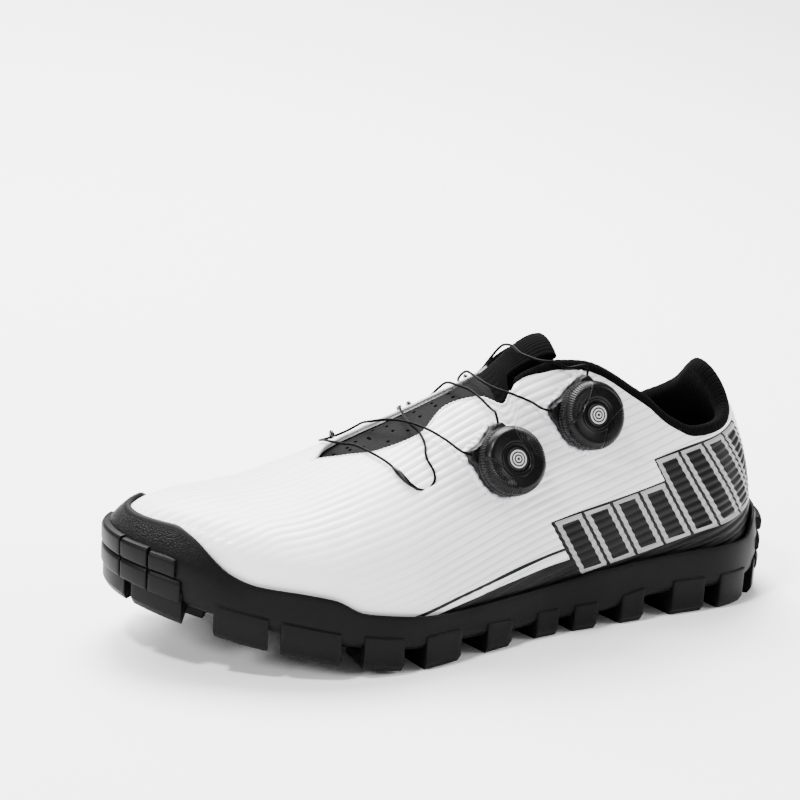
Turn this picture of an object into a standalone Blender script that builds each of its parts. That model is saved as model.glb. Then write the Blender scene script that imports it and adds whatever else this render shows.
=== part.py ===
"""Left cycling shoe for rough ground, closed by two wire-lace dials, built from its named sizes.

+X points to the toe, +Y to the outer side of the foot and +Z up; the floor is z = 0.
A place t runs round the edge of the sole: 0 at the back of the heel, 1 at the toe tip by the outer
side and -1 at the toe tip by the inner side. A turn runs up the wall of the upper: -1 at its foot,
0 where it is widest and 1 on the ridge that the two sides would share if the shoe were closed.
"""

import math

import bmesh
import bpy
import numpy as np
from mathutils import Matrix, Vector
from mathutils.bvhtree import BVHTree

# Driving dimensions, in metres
LENGTH = 0.298
BALL_WIDTH = 0.110
HEEL_WIDTH = 0.079
INSTEP_HEIGHT = 0.116
RIM_HEIGHT = 0.028
BED_HEIGHT = 0.018
LUG_HEIGHT = 0.010
TOE_SPRING = 0.024
UPPER_WALL = 0.0022
CUP_WALL = 0.0034
TOE_CUP_WALL = 0.0066
RIM_WALL = 0.0018
RIM_ROUND = 0.0007
INSOLE = 0.0030
TONGUE = 0.0030
TONGUE_TUCK = 0.007
CUFF_PAD = 0.0050
CUFF_ROLL = 0.0034
CUFF_DEPTH = 0.030
DIAL_WIDTH = 0.0290
DIAL_HEIGHT = 0.0085
DIAL_BASE = 0.0040
BUTTON_WIDTH = 0.0100
LACE_WIDTH = 0.0011
GUIDE_WIRE = 0.0018
CLEAT_PLATE = 0.0016
NUT_PLATE = 0.0016
SLOT_LENGTH = 0.034
SLOT_WIDTH = 0.0085
SLOT_SPACING = 0.0140
BOLT_SPACING = 0.0115
BOLT_WIDTH = 0.0050
FIT = 0.0003
CUP_GAP = 0.0007
EMBED = 0.0015
PROUD = 0.0008
SIDE_Y = -0.0019

# Fineness of the faceted surfaces
SIDE_STATIONS = 38
ROUND_STEPS = 24
LACE_STEP = 0.0062
SLOPE_STEP = 1e-4
WELD = 1e-6


def rows(names, *values):
    """A short table: one array of numbers for each named column, its stations first."""
    return {name: np.array([row[i] for row in values], float)
            for i, name in enumerate(names.split())}


# Plan of the sole: centre as a share of BALL_WIDTH, each half as a share of the local breadth
OUTLINE = rows(
    "s centre lateral medial",
    (0.00, -0.009, 0.481, 0.481),
    (0.13, -0.009, 0.500, 0.500),
    (0.30, 0.000, 0.467, 0.432),
    (0.42, 0.009, 0.425, 0.363),
    (0.55, 0.018, 0.454, 0.375),
    (0.64, 0.018, 0.491, 0.436),
    (0.72, 0.000, 0.500, 0.473),
    (0.85, -0.036, 0.455, 0.436),
    (1.00, -0.109, 0.400, 0.400))

# Side view of the sole: base in LUG_HEIGHT, bed in BED_HEIGHT, rocker in TOE_SPRING, rims in RIM_HEIGHT
PROFILE = rows(
    "s base bed rocker lateral_rim medial_rim",
    (0.00, 1.00, 1.00, 0.00, 1.36, 1.36),
    (0.03, 1.00, 1.00, 0.00, 1.30, 1.30),
    (0.06, 1.00, 1.00, 0.00, 1.04, 1.04),
    (0.12, 1.00, 1.00, 0.00, 1.03, 1.03),
    (0.22, 1.00, 0.97, 0.00, 1.00, 1.02),
    (0.32, 0.62, 0.92, 0.00, 0.92, 1.02),
    (0.45, 0.58, 0.85, 0.00, 0.78, 0.95),
    (0.56, 0.80, 0.82, 0.00, 0.77, 0.87),
    (0.62, 0.86, 0.80, 0.00, 0.82, 0.88),
    (0.68, 0.85, 0.80, 0.08, 0.91, 0.93),
    (0.72, 0.84, 0.80, 0.17, 0.99, 0.99),
    (0.76, 0.83, 0.80, 0.27, 1.21, 1.21),
    (0.80, 0.82, 0.79, 0.38, 1.30, 1.30),
    (0.86, 0.80, 0.77, 0.54, 1.39, 1.39),
    (0.888, 0.80, 0.76, 0.62, 1.50, 1.50),
    (0.935, 0.80, 0.75, 0.78, 1.94, 1.94),
    (0.96, 0.80, 0.75, 0.86, 2.04, 2.04),
    (1.00, 0.80, 0.75, 1.00, 2.05, 2.05))

# Sections of the upper: widest height and ridge in INSTEP_HEIGHT, ridge offset in BALL_WIDTH
UPPER = rows(
    "s waist ridge offset power",
    (0.00, 0.172, 1.045, -0.009, 2.00),
    (0.24, 0.200, 1.060, -0.009, 2.00),
    (0.38, 0.240, 1.055, -0.025, 2.00),
    (0.46, 0.250, 0.912, -0.040, 2.00),
    (0.56, 0.265, 0.782, -0.055, 2.05),
    (0.65, 0.290, 0.680, -0.065, 2.10),
    (0.72, 0.310, 0.608, -0.070, 2.15),
    (0.80, 0.340, 0.548, -0.070, 2.15),
    (0.87, 0.360, 0.538, -0.070, 2.20),
    (1.00, 0.420, 0.538, -0.070, 2.40))

# Top edge of the upper as a turn: heel, collar, instep, throat with its notch, closed vamp
EDGE = rows(
    "s lateral medial",
    (0.000, 0.570, 0.570),
    (0.015, 0.520, 0.520),
    (0.050, 0.435, 0.430),
    (0.090, 0.405, 0.385),
    (0.150, 0.392, 0.355),
    (0.195, 0.428, 0.360),
    (0.260, 0.535, 0.440),
    (0.340, 0.675, 0.590),
    (0.400, 0.700, 0.670),
    (0.440, 0.745, 0.710),
    (0.460, 0.690, 0.730),
    (0.490, 0.820, 0.750),
    (0.530, 0.880, 0.780),
    (0.580, 0.800, 0.790),
    (0.640, 0.840, 0.810),
    (0.680, 0.930, 0.870),
    (0.715, 1.000, 1.000),
    (1.000, 1.000, 1.000))

HEEL_ROUND = 0.135
TOE_ROUND = 0.27
HEEL_POWER = 2.2
TOE_POWER = 2.1
HEEL_CENTRE = 0.24
TOE_CENTRE = 0.87
BUMPER_START = 0.86
BUMPER_FULL = 0.96
CUFF_FRONT = 0.435
TONGUE_TOP = 0.370
TONGUE_SHOULDER = 0.452
TONGUE_NECK = 0.440
TONGUE_END = 0.745

# Lugs along the edge: start and end in s, reach inward in BALL_WIDTH, slant of the inner end in s
LATERAL_LUGS = rows(
    "start end reach slant",
    (0.068, 0.118, 0.235, 0.022),
    (0.145, 0.200, 0.250, 0.026),
    (0.250, 0.288, 0.130, 0.014),
    (0.330, 0.368, 0.130, 0.014),
    (0.395, 0.432, 0.130, 0.012),
    (0.478, 0.522, 0.150, 0.010),
    (0.568, 0.628, 0.170, 0.012),
    (0.662, 0.720, 0.185, 0.014),
    (0.752, 0.828, 0.190, 0.016),
    (0.842, 0.905, 0.200, 0.012))
MEDIAL_LUGS = rows(
    "start end reach slant",
    (0.068, 0.118, 0.235, 0.022),
    (0.145, 0.200, 0.250, 0.026),
    (0.262, 0.300, 0.120, 0.014),
    (0.358, 0.412, 0.120, 0.014),
    (0.470, 0.520, 0.110, 0.012),
    (0.588, 0.640, 0.110, 0.012),
    (0.680, 0.735, 0.140, 0.012),
    (0.765, 0.815, 0.170, 0.012),
    (0.835, 0.878, 0.180, 0.010),
    (0.895, 0.930, 0.170, 0.008))

# Lugs that wrap the heel and the toe, as places round the edge, reach in BALL_WIDTH
WRAP_LUGS = rows(
    "start end reach",
    (-0.128, -0.062, 0.120),
    (-0.050, 0.050, 0.130),
    (0.062, 0.128, 0.120),
    (0.840, 0.925, 0.130),
    (0.940, 1.060, 0.120),
    (1.075, 1.140, 0.130))

# Free-standing lugs: place s, offset in BALL_WIDTH, length and breadth in LUG_HEIGHT, heading in degrees
CENTRE_LUGS = rows(
    "s offset length breadth heading",
    (0.110, 0.000, 1.5, 0.8, 60.0),
    (0.185, -0.010, 1.7, 0.9, -50.0),
    (0.880, 0.025, 1.9, 0.6, 35.0),
    (0.872, -0.095, 1.9, 0.6, -25.0),
    (0.913, 0.060, 1.8, 0.6, -35.0),
    (0.918, -0.120, 1.8, 0.8, 20.0))

# Raised blocks on the bumpers: places round the edge, heights as shares of the side from base to rim
BUMPER_BLOCKS = rows(
    "start end low high",
    (0.842, 0.888, 0.05, 0.36),
    (0.896, 0.946, 0.05, 0.36),
    (0.954, 1.046, 0.05, 0.36),
    (1.054, 1.104, 0.05, 0.36),
    (1.112, 1.155, 0.05, 0.36),
    (0.850, 0.888, 0.41, 0.66),
    (0.896, 0.946, 0.41, 0.70),
    (0.954, 1.046, 0.41, 0.72),
    (1.054, 1.104, 0.41, 0.70),
    (1.112, 1.147, 0.41, 0.66),
    (-0.115, 0.115, 0.04, 0.27),
    (-0.105, 0.105, 0.34, 0.57),
    (-0.090, 0.090, 0.64, 0.86))
BLOCK_PROUD = 0.0016

# Corners of the cleat recess and of the arch window, in LENGTH and BALL_WIDTH
RECESS = rows(
    "x y",
    (0.047, 0.130), (0.105, 0.225), (0.285, 0.225), (0.340, 0.100),
    (0.340, -0.050), (0.305, -0.150), (0.120, -0.150), (0.047, -0.060))
WINDOW = rows(
    "x y",
    (-0.270, -0.060), (-0.215, 0.090), (-0.125, 0.145), (0.020, 0.160),
    (0.020, -0.125), (-0.240, -0.125))
RAILS = rows(
    "s outer_low outer_high inner_low inner_high",
    (0.565, 0.262, 0.345, -0.262, -0.190),
    (0.600, 0.262, 0.350, -0.270, -0.190),
    (0.680, 0.262, 0.345, -0.272, -0.190),
    (0.740, 0.262, 0.325, -0.272, -0.190),
    (0.785, 0.262, 0.300, -0.262, -0.200))
RAIL_DEPTH = 0.0065
RECESS_TOP = 0.0132
RECESS_STEP = 0.0012
RECESS_LIP = 0.0034
WINDOW_TOP = 0.0118
WINDOW_PLATE = 0.0028
WINDOW_RIBS = 14
RIB_DEPTH = 0.0010
CLEAT_X = 0.194
CLEAT_Y = 0.035

# Dials: place t, turn, and the two wire exits in degrees from the toe direction, upward negative
DIALS = {
    "front": dict(t=0.4875, turn=0.442, exits=(-38.0, -105.0)),
    "rear": dict(t=0.405, turn=0.472, exits=(-12.0, -95.0)),
}

# Wire routes between the two exits of a dial: place t, turn and lift above the upper in millimetres
FRONT_ROUTE = (
    (0.538, 0.678, 2.6), (0.549, 0.790, 3.0), (0.560, 0.905, 3.0), (0.570, 0.985, 2.8),
    (-0.577, 0.920, 2.0), (-0.578, 0.800, 1.5), (-0.580, 0.710, 1.3), (-0.586, 0.655, 1.3),
    (-0.597, 0.640, 1.3), (-0.608, 0.660, 1.3), (-0.614, 0.720, 1.3), (-0.616, 0.820, 1.5),
    (-0.616, 0.930, 1.8), (0.611, 0.985, 1.8), (0.604, 0.930, 1.6), (0.597, 0.820, 1.4),
    (0.591, 0.730, 1.3), (0.587, 0.650, 1.3), (0.582, 0.570, 1.3), (0.575, 0.525, 1.3),
    (0.566, 0.505, 1.3), (0.557, 0.520, 1.3), (0.556, 0.580, 1.3), (0.558, 0.650, 1.3),
    (0.554, 0.720, 1.3), (0.553, 0.800, 1.3), (0.555, 0.890, 1.4), (-0.551, 0.960, 1.5),
    (-0.546, 0.860, 1.5), (-0.544, 0.780, 1.4), (-0.540, 0.700, 1.3), (-0.532, 0.650, 1.3),
    (-0.521, 0.645, 1.3), (-0.511, 0.670, 1.3), (-0.506, 0.760, 1.4), (-0.504, 0.880, 1.5),
    (0.503, 0.970, 1.6), (0.498, 0.880, 1.6), (0.494, 0.785, 1.7), (0.490, 0.700, 2.0))
REAR_ROUTE = (
    (0.455, 0.600, 1.9), (0.467, 0.693, 1.6), (0.480, 0.800, 1.5), (0.486, 0.900, 1.5),
    (-0.487, 0.950, 1.6), (-0.487, 0.840, 1.5), (-0.486, 0.740, 1.3), (-0.481, 0.670, 1.3),
    (-0.471, 0.640, 1.3), (-0.461, 0.650, 1.4), (-0.455, 0.710, 1.7), (-0.452, 0.790, 2.2),
    (-0.451, 0.900, 2.4), (0.450, 0.960, 2.4), (0.449, 0.860, 2.4), (0.440, 0.740, 2.2),
    (0.428, 0.690, 2.2), (0.416, 0.655, 2.4))

# Hoops that hold the wires down: place t, turn
GUIDES = {
    "guide_front_medial": (-0.597, 0.640),
    "guide_middle_medial": (-0.526, 0.645),
    "guide_rear_medial": (-0.471, 0.640),
    "guide_lateral": (0.566, 0.505),
}
HOOP_WIDTH = 0.0064
HOOP_HEIGHT = 0.0044

# Materials: colour, roughness, metallic
RUBBER = ((0.012, 0.012, 0.013), 0.62, 0.0)
CARBON = ((0.020, 0.020, 0.022), 0.38, 0.0)
STEEL = ((0.30, 0.30, 0.31), 0.35, 1.0)
WHITE_SHELL = ((0.80, 0.80, 0.81), 0.38, 0.0)
KNIT = ((0.010, 0.010, 0.011), 0.90, 0.0)
TONGUE_GREY = ((0.035, 0.035, 0.038), 0.55, 0.0)
FOAM = ((0.018, 0.018, 0.020), 0.90, 0.0)
DIAL_BLACK = ((0.010, 0.010, 0.011), 0.30, 0.0)
BUTTON_GREY = ((0.28, 0.28, 0.29), 0.35, 0.0)
WIRE = ((0.012, 0.012, 0.013), 0.35, 0.3)


def read(table, name, s):
    """A column of a table at the stations s, by a smooth curve that never overshoots its rows."""
    x = table["s"]
    y = table[name]
    gap = np.diff(x)
    rise = np.diff(y) / gap
    slope = np.concatenate([[rise[0]], np.zeros(len(x) - 2), [rise[-1]]])
    before, after = rise[:-1], rise[1:]
    near, far = 2 * gap[1:] + gap[:-1], gap[1:] + 2 * gap[:-1]
    same = before * after > 0
    slope[1:-1][same] = (near + far)[same] / (near[same] / before[same] + far[same] / after[same])
    s = np.clip(np.asarray(s, float), x[0], x[-1])
    i = np.clip(np.searchsorted(x, s) - 1, 0, len(gap) - 1)
    u = (s - x[i]) / gap[i]
    start = (2 * u**3 - 3 * u**2 + 1) * y[i] + (u**3 - 2 * u**2 + u) * gap[i] * slope[i]
    return start + (3 * u**2 - 2 * u**3) * y[i + 1] + (u**3 - u**2) * gap[i] * slope[i + 1]


def two_sided(table, lateral, medial, t):
    """The lateral or the medial column of a table, whichever side of the shoe t is on."""
    s = station(t)
    return np.where(is_lateral(t), read(table, lateral, s), read(table, medial, s))


def station(t):
    """Share of the length, from the heel, of a place on the edge."""
    return 0.5 - 0.5 * np.cos(np.pi * np.asarray(t, float))


def place(s):
    """Place on the lateral edge of a share of the length."""
    return np.arccos(1 - 2 * np.asarray(s, float)) / np.pi


def is_lateral(t):
    """True on the outer side of the shoe, also for places counted past the toe."""
    return np.sin(np.pi * np.asarray(t, float)) >= 0


def rounded(share, power):
    """Half width of a rounded end, from 0 at its tip to 1 where it is full."""
    return (1 - (1 - np.clip(share, 0, 1))**power)**(1 / power)


def breadth(s):
    """Width of the sole that its outline shares refer to, from the heel to the ball."""
    r = np.clip((s - 0.15) / 0.5, 0, 1)
    return HEEL_WIDTH + (BALL_WIDTH - HEEL_WIDTH) * r * r * (3 - 2 * r)


def outline(t):
    """Plan position of the outer edge of the sole."""
    s = station(t)
    share = np.where(is_lateral(t), read(OUTLINE, "lateral", s), -read(OUTLINE, "medial", s))
    ends = rounded(s / HEEL_ROUND, HEEL_POWER) * rounded((1 - s) / TOE_ROUND, TOE_POWER)
    return LENGTH * (s - 0.5), SIDE_Y + BALL_WIDTH * read(OUTLINE, "centre", s) + breadth(s) * share * ends


def edge_plan(t, inset=0.0):
    """Plan position at a distance inside the outer edge of the sole."""
    t = np.asarray(t, float)
    x, y = outline(t)
    back, ahead = outline(t - SLOPE_STEP), outline(t + SLOPE_STEP)
    dx, dy = ahead[0] - back[0], ahead[1] - back[1]
    run = np.hypot(dx, dy)
    return x + inset * dy / run, y - inset * dx / run


def rocker(s):
    """Height of the tread surface above the floor: none at the heel and ball, the spring at the toe."""
    return TOE_SPRING * read(PROFILE, "rocker", s)


def base(s):
    """Height of the underside between the lugs."""
    return LUG_HEIGHT * read(PROFILE, "base", s) + rocker(s)


def bed(s):
    """Height of the floor inside the sole."""
    return BED_HEIGHT * read(PROFILE, "bed", s) + rocker(s)


def rim(t):
    """Height of the top edge of the sole's side."""
    return RIM_HEIGHT * two_sided(PROFILE, "lateral_rim", "medial_rim", t)


def cup_wall(s):
    """Thickness of the sole's side, which grows into the toe bumper."""
    share = np.clip((s - BUMPER_START) / (BUMPER_FULL - BUMPER_START), 0, 1)
    return CUP_WALL + (TOE_CUP_WALL - CUP_WALL) * share


def skin(t, turn, inset=0.0):
    """Point at a distance inside the upper's outer surface."""
    t, turn = np.broadcast_arrays(np.asarray(t, float), np.asarray(turn, float))
    s = station(t)
    x, y = edge_plan(t, cup_wall(s) + FIT + inset)
    spine = np.clip(s, HEEL_CENTRE, TOE_CENTRE)
    centre_x = LENGTH * (spine - 0.5)
    centre_y = SIDE_Y + BALL_WIDTH * read(UPPER, "offset", spine)
    foot, waist, ridge, power = skin_heights(t, inset)
    angle = np.clip(turn, 0, 1) * np.pi / 2
    across = np.cos(angle)**(2 / power)
    climb = np.sin(angle)**(2 / power)
    z = np.where(turn < 0, waist + turn * (waist - foot), waist + (ridge - waist) * climb)
    return np.stack([centre_x + (x - centre_x) * across, centre_y + (y - centre_y) * across, z], -1)


def skin_heights(t, inset=0.0):
    """Foot, widest and ridge heights of the upper's section, and the power that rounds it."""
    s = station(t)
    spine = np.clip(s, HEEL_CENTRE, TOE_CENTRE)
    waist = INSTEP_HEIGHT * read(UPPER, "waist", s)
    ridge = INSTEP_HEIGHT * read(UPPER, "ridge", spine) - inset
    return bed(s) + FIT, waist, ridge, read(UPPER, "power", s)


def skin_at_height(t, z, inset=0.0):
    """Point at a height on the surface inside the upper's outer surface."""
    foot, waist, ridge, power = skin_heights(t, inset)
    share = np.clip((z - waist) / (ridge - waist), 0, 1)
    up = np.arcsin(share**(power / 2)) * 2 / np.pi
    down = (z - waist) / (waist - foot)
    return skin(t, np.where(z > waist, up, down), inset)


def skin_frame(t, turn, inset=0.0):
    """Point on the surface, its outward direction and the direction along it towards the toe."""
    point = Vector(skin(t, turn, inset))
    sign = 1 if t > 0 else -1
    along = Vector(skin(t + sign * SLOPE_STEP, turn, inset)) - Vector(skin(t - sign * SLOPE_STEP, turn, inset))
    up = Vector(skin(t, turn + SLOPE_STEP, inset)) - Vector(skin(t, turn - SLOPE_STEP, inset))
    normal = (along.cross(up) if t < 0 else up.cross(along)).normalized()
    return point, normal, along.normalized()


def top_turn(t):
    """Turn of the upper's top edge."""
    return two_sided(EDGE, "lateral", "medial", t)


def turn_rate(t, turn):
    """Length of surface for one whole turn, measured just below a turn."""
    step = 0.02
    return np.linalg.norm(skin(t, turn) - skin(t, turn - step), axis=-1) / step


def mesh_object(name, bm, material, collection=None):
    """Object of a bmesh, welded and with its faces pointing out."""
    bmesh.ops.remove_doubles(bm, verts=bm.verts, dist=WELD)
    bmesh.ops.dissolve_degenerate(bm, dist=WELD, edges=bm.edges)
    bmesh.ops.recalc_face_normals(bm, faces=bm.faces)
    mesh = bpy.data.meshes.new(name)
    bm.to_mesh(mesh)
    bm.free()
    obj = bpy.data.objects.new(name, mesh)
    (collection or PARTS).objects.link(obj)
    if material is not None:
        mesh.materials.append(material)
    mesh.set_sharp_from_angle(angle=math.radians(35))
    return obj


def add_points(bm, points):
    """Vertices of an array of points, kept in the array's own shape."""
    flat = [bm.verts.new(point) for point in np.asarray(points, float).reshape(-1, 3)]
    return np.array(flat, dtype=object).reshape(np.asarray(points).shape[:-1])


def add_face(bm, *corners):
    """Face on corners that may repeat, as they do where a grid closes to a point."""
    kept = []
    for corner in corners:
        if all((corner.co - other.co).length > WELD for other in kept):
            kept.append(corner)
    if len(kept) > 2:
        bm.faces.new(kept)


def add_grid(bm, grid, closed=False):
    """Faces between the neighbours of a grid of vertices, closed along its first side if asked."""
    count = len(grid)
    for i in range(count if closed else count - 1):
        a, b = grid[i], grid[(i + 1) % count]
        for j in range(len(a) - 1):
            add_face(bm, a[j], b[j], b[j + 1], a[j + 1])


def add_loft(bm, sections):
    """Closed body through closed sections, with flat ends."""
    grid = add_points(bm, sections)
    for a, b in zip(grid[:-1], grid[1:]):
        for j in range(len(a)):
            add_face(bm, a[j - 1], a[j], b[j], b[j - 1])
    bm.faces.new(list(grid[0])[::-1])
    bm.faces.new(list(grid[-1]))


def add_prism(bm, corners, low, high):
    """Upright body over corners in plan, between two heights that may depend on the corner."""
    low_ring = [(x, y, low(x) if callable(low) else low) for x, y in corners]
    high_ring = [(x, y, high(x) if callable(high) else high) for x, y in corners]
    add_loft(bm, [low_ring, high_ring])


def loop_places():
    """Places once round the edge, from the toe tip by the inner side, the heel and the outer side."""
    return np.linspace(-1, 1, 2 * SIDE_STATIONS + 1)[:-1]


def add_strips(bm, ring):
    """Faces across the shoe between the two sides of a ring that starts at the toe tip."""
    count = len(ring)
    for i in range(SIDE_STATIONS):
        add_face(bm, ring[i], ring[i + 1], ring[(count - i - 1) % count], ring[(count - i) % count])


def boolean(obj, other, operation):
    """Exact Boolean of a piece with a hidden one."""
    modifier = obj.modifiers.new(operation.title(), "BOOLEAN")
    modifier.operation = operation
    modifier.solver = "EXACT"
    modifier.use_self = True
    modifier.object = other
    return modifier


def hide_cutter(obj):
    """Mark an object as a construction body that isn't a piece."""
    obj.hide_render = True
    obj.display_type = "WIRE"
    return obj


def follow_rocker(bm, stations):
    """Cut a body built over a flat floor at each station and lift it onto the rocker of the sole."""
    for s in stations:
        geometry = bm.verts[:] + bm.edges[:] + bm.faces[:]
        bmesh.ops.bisect_plane(bm, geom=geometry, plane_co=(LENGTH * (s - 0.5), 0, 0), plane_no=(1, 0, 0))
    for vertex in bm.verts:
        vertex.co.z += float(rocker(vertex.co.x / LENGTH + 0.5))


ROCKER_STATIONS = (0.62, 0.65, 0.68, 0.71, 0.74, 0.77, 0.80, 0.83)


def outsole(material):
    """Cup sole: bumpers, side, rim, bed, lugs, rails, cleat recess and arch window."""
    t = loop_places()
    s = station(t)
    low, top = base(s), rim(t)
    side = top - low

    def edge_ring(inset, z):
        x, y = edge_plan(t, inset)
        return np.stack([x, y, z], -1)

    def wall_ring(row):
        height = skin(t, row * top_turn(t), -CUP_GAP)[..., 2]
        return skin_at_height(t, np.minimum(height, top - RIM_ROUND), -CUP_GAP)

    rings = [
        edge_ring(0.0030, low),
        edge_ring(0.0008, low + 0.0022),
        edge_ring(0.0, low + 0.30 * side),
        edge_ring(0.0005 + 0.2 * (cup_wall(s) - CUP_WALL), low + 0.68 * side),
        skin_at_height(t, top - RIM_ROUND, -(CUP_GAP + RIM_WALL)),
        skin_at_height(t, top, -(CUP_GAP + 0.5 * RIM_WALL)),
        skin_at_height(t, top - RIM_ROUND, -CUP_GAP),
        wall_ring(WALL_ROWS[2]),
        wall_ring(WALL_ROWS[1]),
        wall_ring(WALL_ROWS[0]),
        wall_ring(0.0),
        skin(t, -1, -FIT) - np.stack([0 * s, 0 * s, 0 * s + FIT], -1),
    ]
    bm = bmesh.new()
    grid = add_points(bm, np.stack(rings, 1))
    add_grid(bm, grid, closed=True)
    add_strips(bm, grid[:, 0])
    add_strips(bm, grid[:, -1])
    obj = mesh_object("outsole", bm, material)
    boolean(obj, recess_cutter(), "DIFFERENCE")
    bm = bmesh.new()
    add_tread_lugs(bm)
    add_bumper_blocks(bm)
    boolean(obj, hide_cutter(mesh_object("tread_body", bm, None, CUTTERS)), "UNION")
    return obj


def add_edge_lug(bm, start, end, reach, slant, stations=3):
    """Lug on the edge: a panel on the sole's side, a sole face on the floor and a slanted inner end."""
    middle = (start + end) / 2
    sections = []
    for t in np.linspace(start, end, stations):
        floor = rocker(station(t))
        root = base(station(t))
        profile = (
            (0.0008, floor), (-PROUD, floor + 0.0030), (-PROUD, root + 0.0060), (EMBED, root + 0.0075),
            (0.0040, root + 0.0025), (reach, root + EMBED), (reach - 0.0015, floor))
        ring = []
        for inset, z in profile:
            share = max(inset, 0) / reach
            where = middle + (t - middle) * (1 - 0.35 * share) + slant * share
            x, y = edge_plan(where, inset)
            ring.append((float(x), float(y), float(z)))
        sections.append(ring)
    add_loft(bm, sections)


def add_tread_lugs(bm):
    """All lugs and the two rails beside the cleat recess."""
    for table, sign in ((LATERAL_LUGS, 1), (MEDIAL_LUGS, -1)):
        for start, end, reach, slant in zip(*table.values()):
            first, last = place(start), place(end)
            lean = place(start + slant) - first
            add_edge_lug(bm, sign * first, sign * last, reach * BALL_WIDTH, sign * lean)
    for start, end, reach in zip(*WRAP_LUGS.values()):
        add_edge_lug(bm, start, end, reach * BALL_WIDTH, 0.0, stations=4)
    for s, offset, length, width, heading in zip(*CENTRE_LUGS.values()):
        add_centre_lug(bm, s, offset * BALL_WIDTH, length * LUG_HEIGHT, width * LUG_HEIGHT, heading)
    for near, far in (("outer_low", "outer_high"), ("inner_low", "inner_high")):
        add_rail(bm, near, far)


def add_centre_lug(bm, s, offset, length, width, heading):
    """Bar-shaped lug that tapers from its root to the floor."""
    turn = Matrix.Rotation(math.radians(heading), 3, "Z")
    rings = []
    for share, foot in ((1.0, False), (0.86, True)):
        ring = []
        for along, side in ((-1, -1), (1, -1), (1, 1), (-1, 1)):
            step = turn @ Vector((along * length / 2 * share, side * width / 2 * share, 0))
            x = LENGTH * (s - 0.5) + step.x
            y = SIDE_Y + offset + step.y
            local = x / LENGTH + 0.5
            z = rocker(local) + 0.0008 if foot else base(local) + EMBED
            ring.append((x, y, float(z)))
        rings.append(ring)
    add_loft(bm, rings)


def add_rail(bm, near, far):
    """Long low bar beside the cleat recess."""
    sections = []
    for s in RAILS["s"]:
        y_low, y_high = (SIDE_Y + BALL_WIDTH * float(read(RAILS, name, s)) for name in (near, far))
        x = LENGTH * (s - 0.5)
        foot = float(base(s)) - RAIL_DEPTH
        root = float(base(s)) + EMBED
        sections.append([(x, y_low, root), (x, y_low + 0.0008, foot), (x, y_high - 0.0008, foot), (x, y_high, root)])
    add_loft(bm, sections)


def add_bumper_blocks(bm):
    """Raised blocks of the toe bumper and the ridges of the heel bumper."""
    for start, end, low, high in zip(*BUMPER_BLOCKS.values()):
        sections = []
        for t in np.linspace(start, end, 4):
            s = station(t)
            bottom, top = float(base(s)), float(rim(t))
            ring = []
            for share, inset in ((low, EMBED + 0.001), (low, -BLOCK_PROUD * 0.7), (low + 0.05, -BLOCK_PROUD),
                                 (high - 0.05, -BLOCK_PROUD), (high, -BLOCK_PROUD * 0.5), (high, EMBED + 0.001)):
                x, y = edge_plan(t, inset)
                ring.append((float(x), float(y), bottom + share * (top - bottom)))
            sections.append(ring)
        add_loft(bm, sections)


def plan_corners(table, inset=0.0):
    """Corners of a polygon table in metres, each side moved inward by an inset."""
    points = [Vector((x * LENGTH, SIDE_Y + y * BALL_WIDTH)) for x, y in zip(table["x"], table["y"])]
    corners = []
    for i, point in enumerate(points):
        before = (point - points[i - 1]).normalized()
        after = (points[(i + 1) % len(points)] - point).normalized()
        first, second = Vector((before.y, -before.x)), Vector((after.y, -after.x))
        bisector = (first + second).normalized()
        corners.append(point + bisector * (inset / max(bisector.dot(first), 0.2)))
    return [(corner.x, corner.y) for corner in corners]


def recess_cutter():
    """Stepped octagon that holds the cleat plate, its nut pocket, and the arch window."""
    bm = bmesh.new()
    step = base_flat(CLEAT_X) + RECESS_STEP
    add_prism(bm, plan_corners(RECESS, -RECESS_LIP), -0.002, step)
    add_prism(bm, plan_corners(RECESS), step - 0.0005, RECESS_TOP - NUT_PLATE - FIT)
    add_prism(bm, nut_corners(FIT), RECESS_TOP - NUT_PLATE - 2 * FIT, RECESS_TOP)
    follow_rocker(bm, ROCKER_STATIONS)
    add_prism(bm, plan_corners(WINDOW), -0.002, WINDOW_TOP)
    cutter = hide_cutter(mesh_object("recess_cutter", bm, None, CUTTERS))
    return cutter


def base_flat(share):
    """Height of the underside above the tread surface, at a share of the length from the middle."""
    return LUG_HEIGHT * float(read(PROFILE, "base", share + 0.5))


def nut_corners(grow=0.0):
    """Corners of the steel nut plate in plan."""
    half_x = SLOT_LENGTH * 0.62 + grow
    half_y = SLOT_SPACING / 2 + SLOT_WIDTH * 0.72 + grow
    x, y = CLEAT_X * LENGTH, SIDE_Y + CLEAT_Y * BALL_WIDTH
    return [(x - half_x, y - half_y), (x + half_x, y - half_y), (x + half_x, y + half_y), (x - half_x, y + half_y)]


def cleat_plate(material):
    """Moulded plate in the recess, with two long slots."""
    top = RECESS_TOP - NUT_PLATE - 2 * FIT
    bm = bmesh.new()
    add_prism(bm, plan_corners(RECESS, FIT), top - CLEAT_PLATE, top)
    follow_rocker(bm, ROCKER_STATIONS)
    obj = mesh_object("cleat_plate", bm, material)
    bm = bmesh.new()
    for side in (-1, 1):
        ends = []
        for end in (1, -1):
            for step in range(7):
                angle = math.radians(-90 * end + step * 30)
                centre = CLEAT_X * LENGTH + end * (SLOT_LENGTH - SLOT_WIDTH) / 2
                x = centre + math.cos(angle) * SLOT_WIDTH / 2
                y = SIDE_Y + CLEAT_Y * BALL_WIDTH + side * SLOT_SPACING / 2 + math.sin(angle) * SLOT_WIDTH / 2
                ends.append((x, y))
        add_prism(bm, ends, 0.0, RECESS_TOP * 3)
    boolean(obj, hide_cutter(mesh_object("slot_cutter", bm, None, CUTTERS)), "DIFFERENCE")
    return obj


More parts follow.
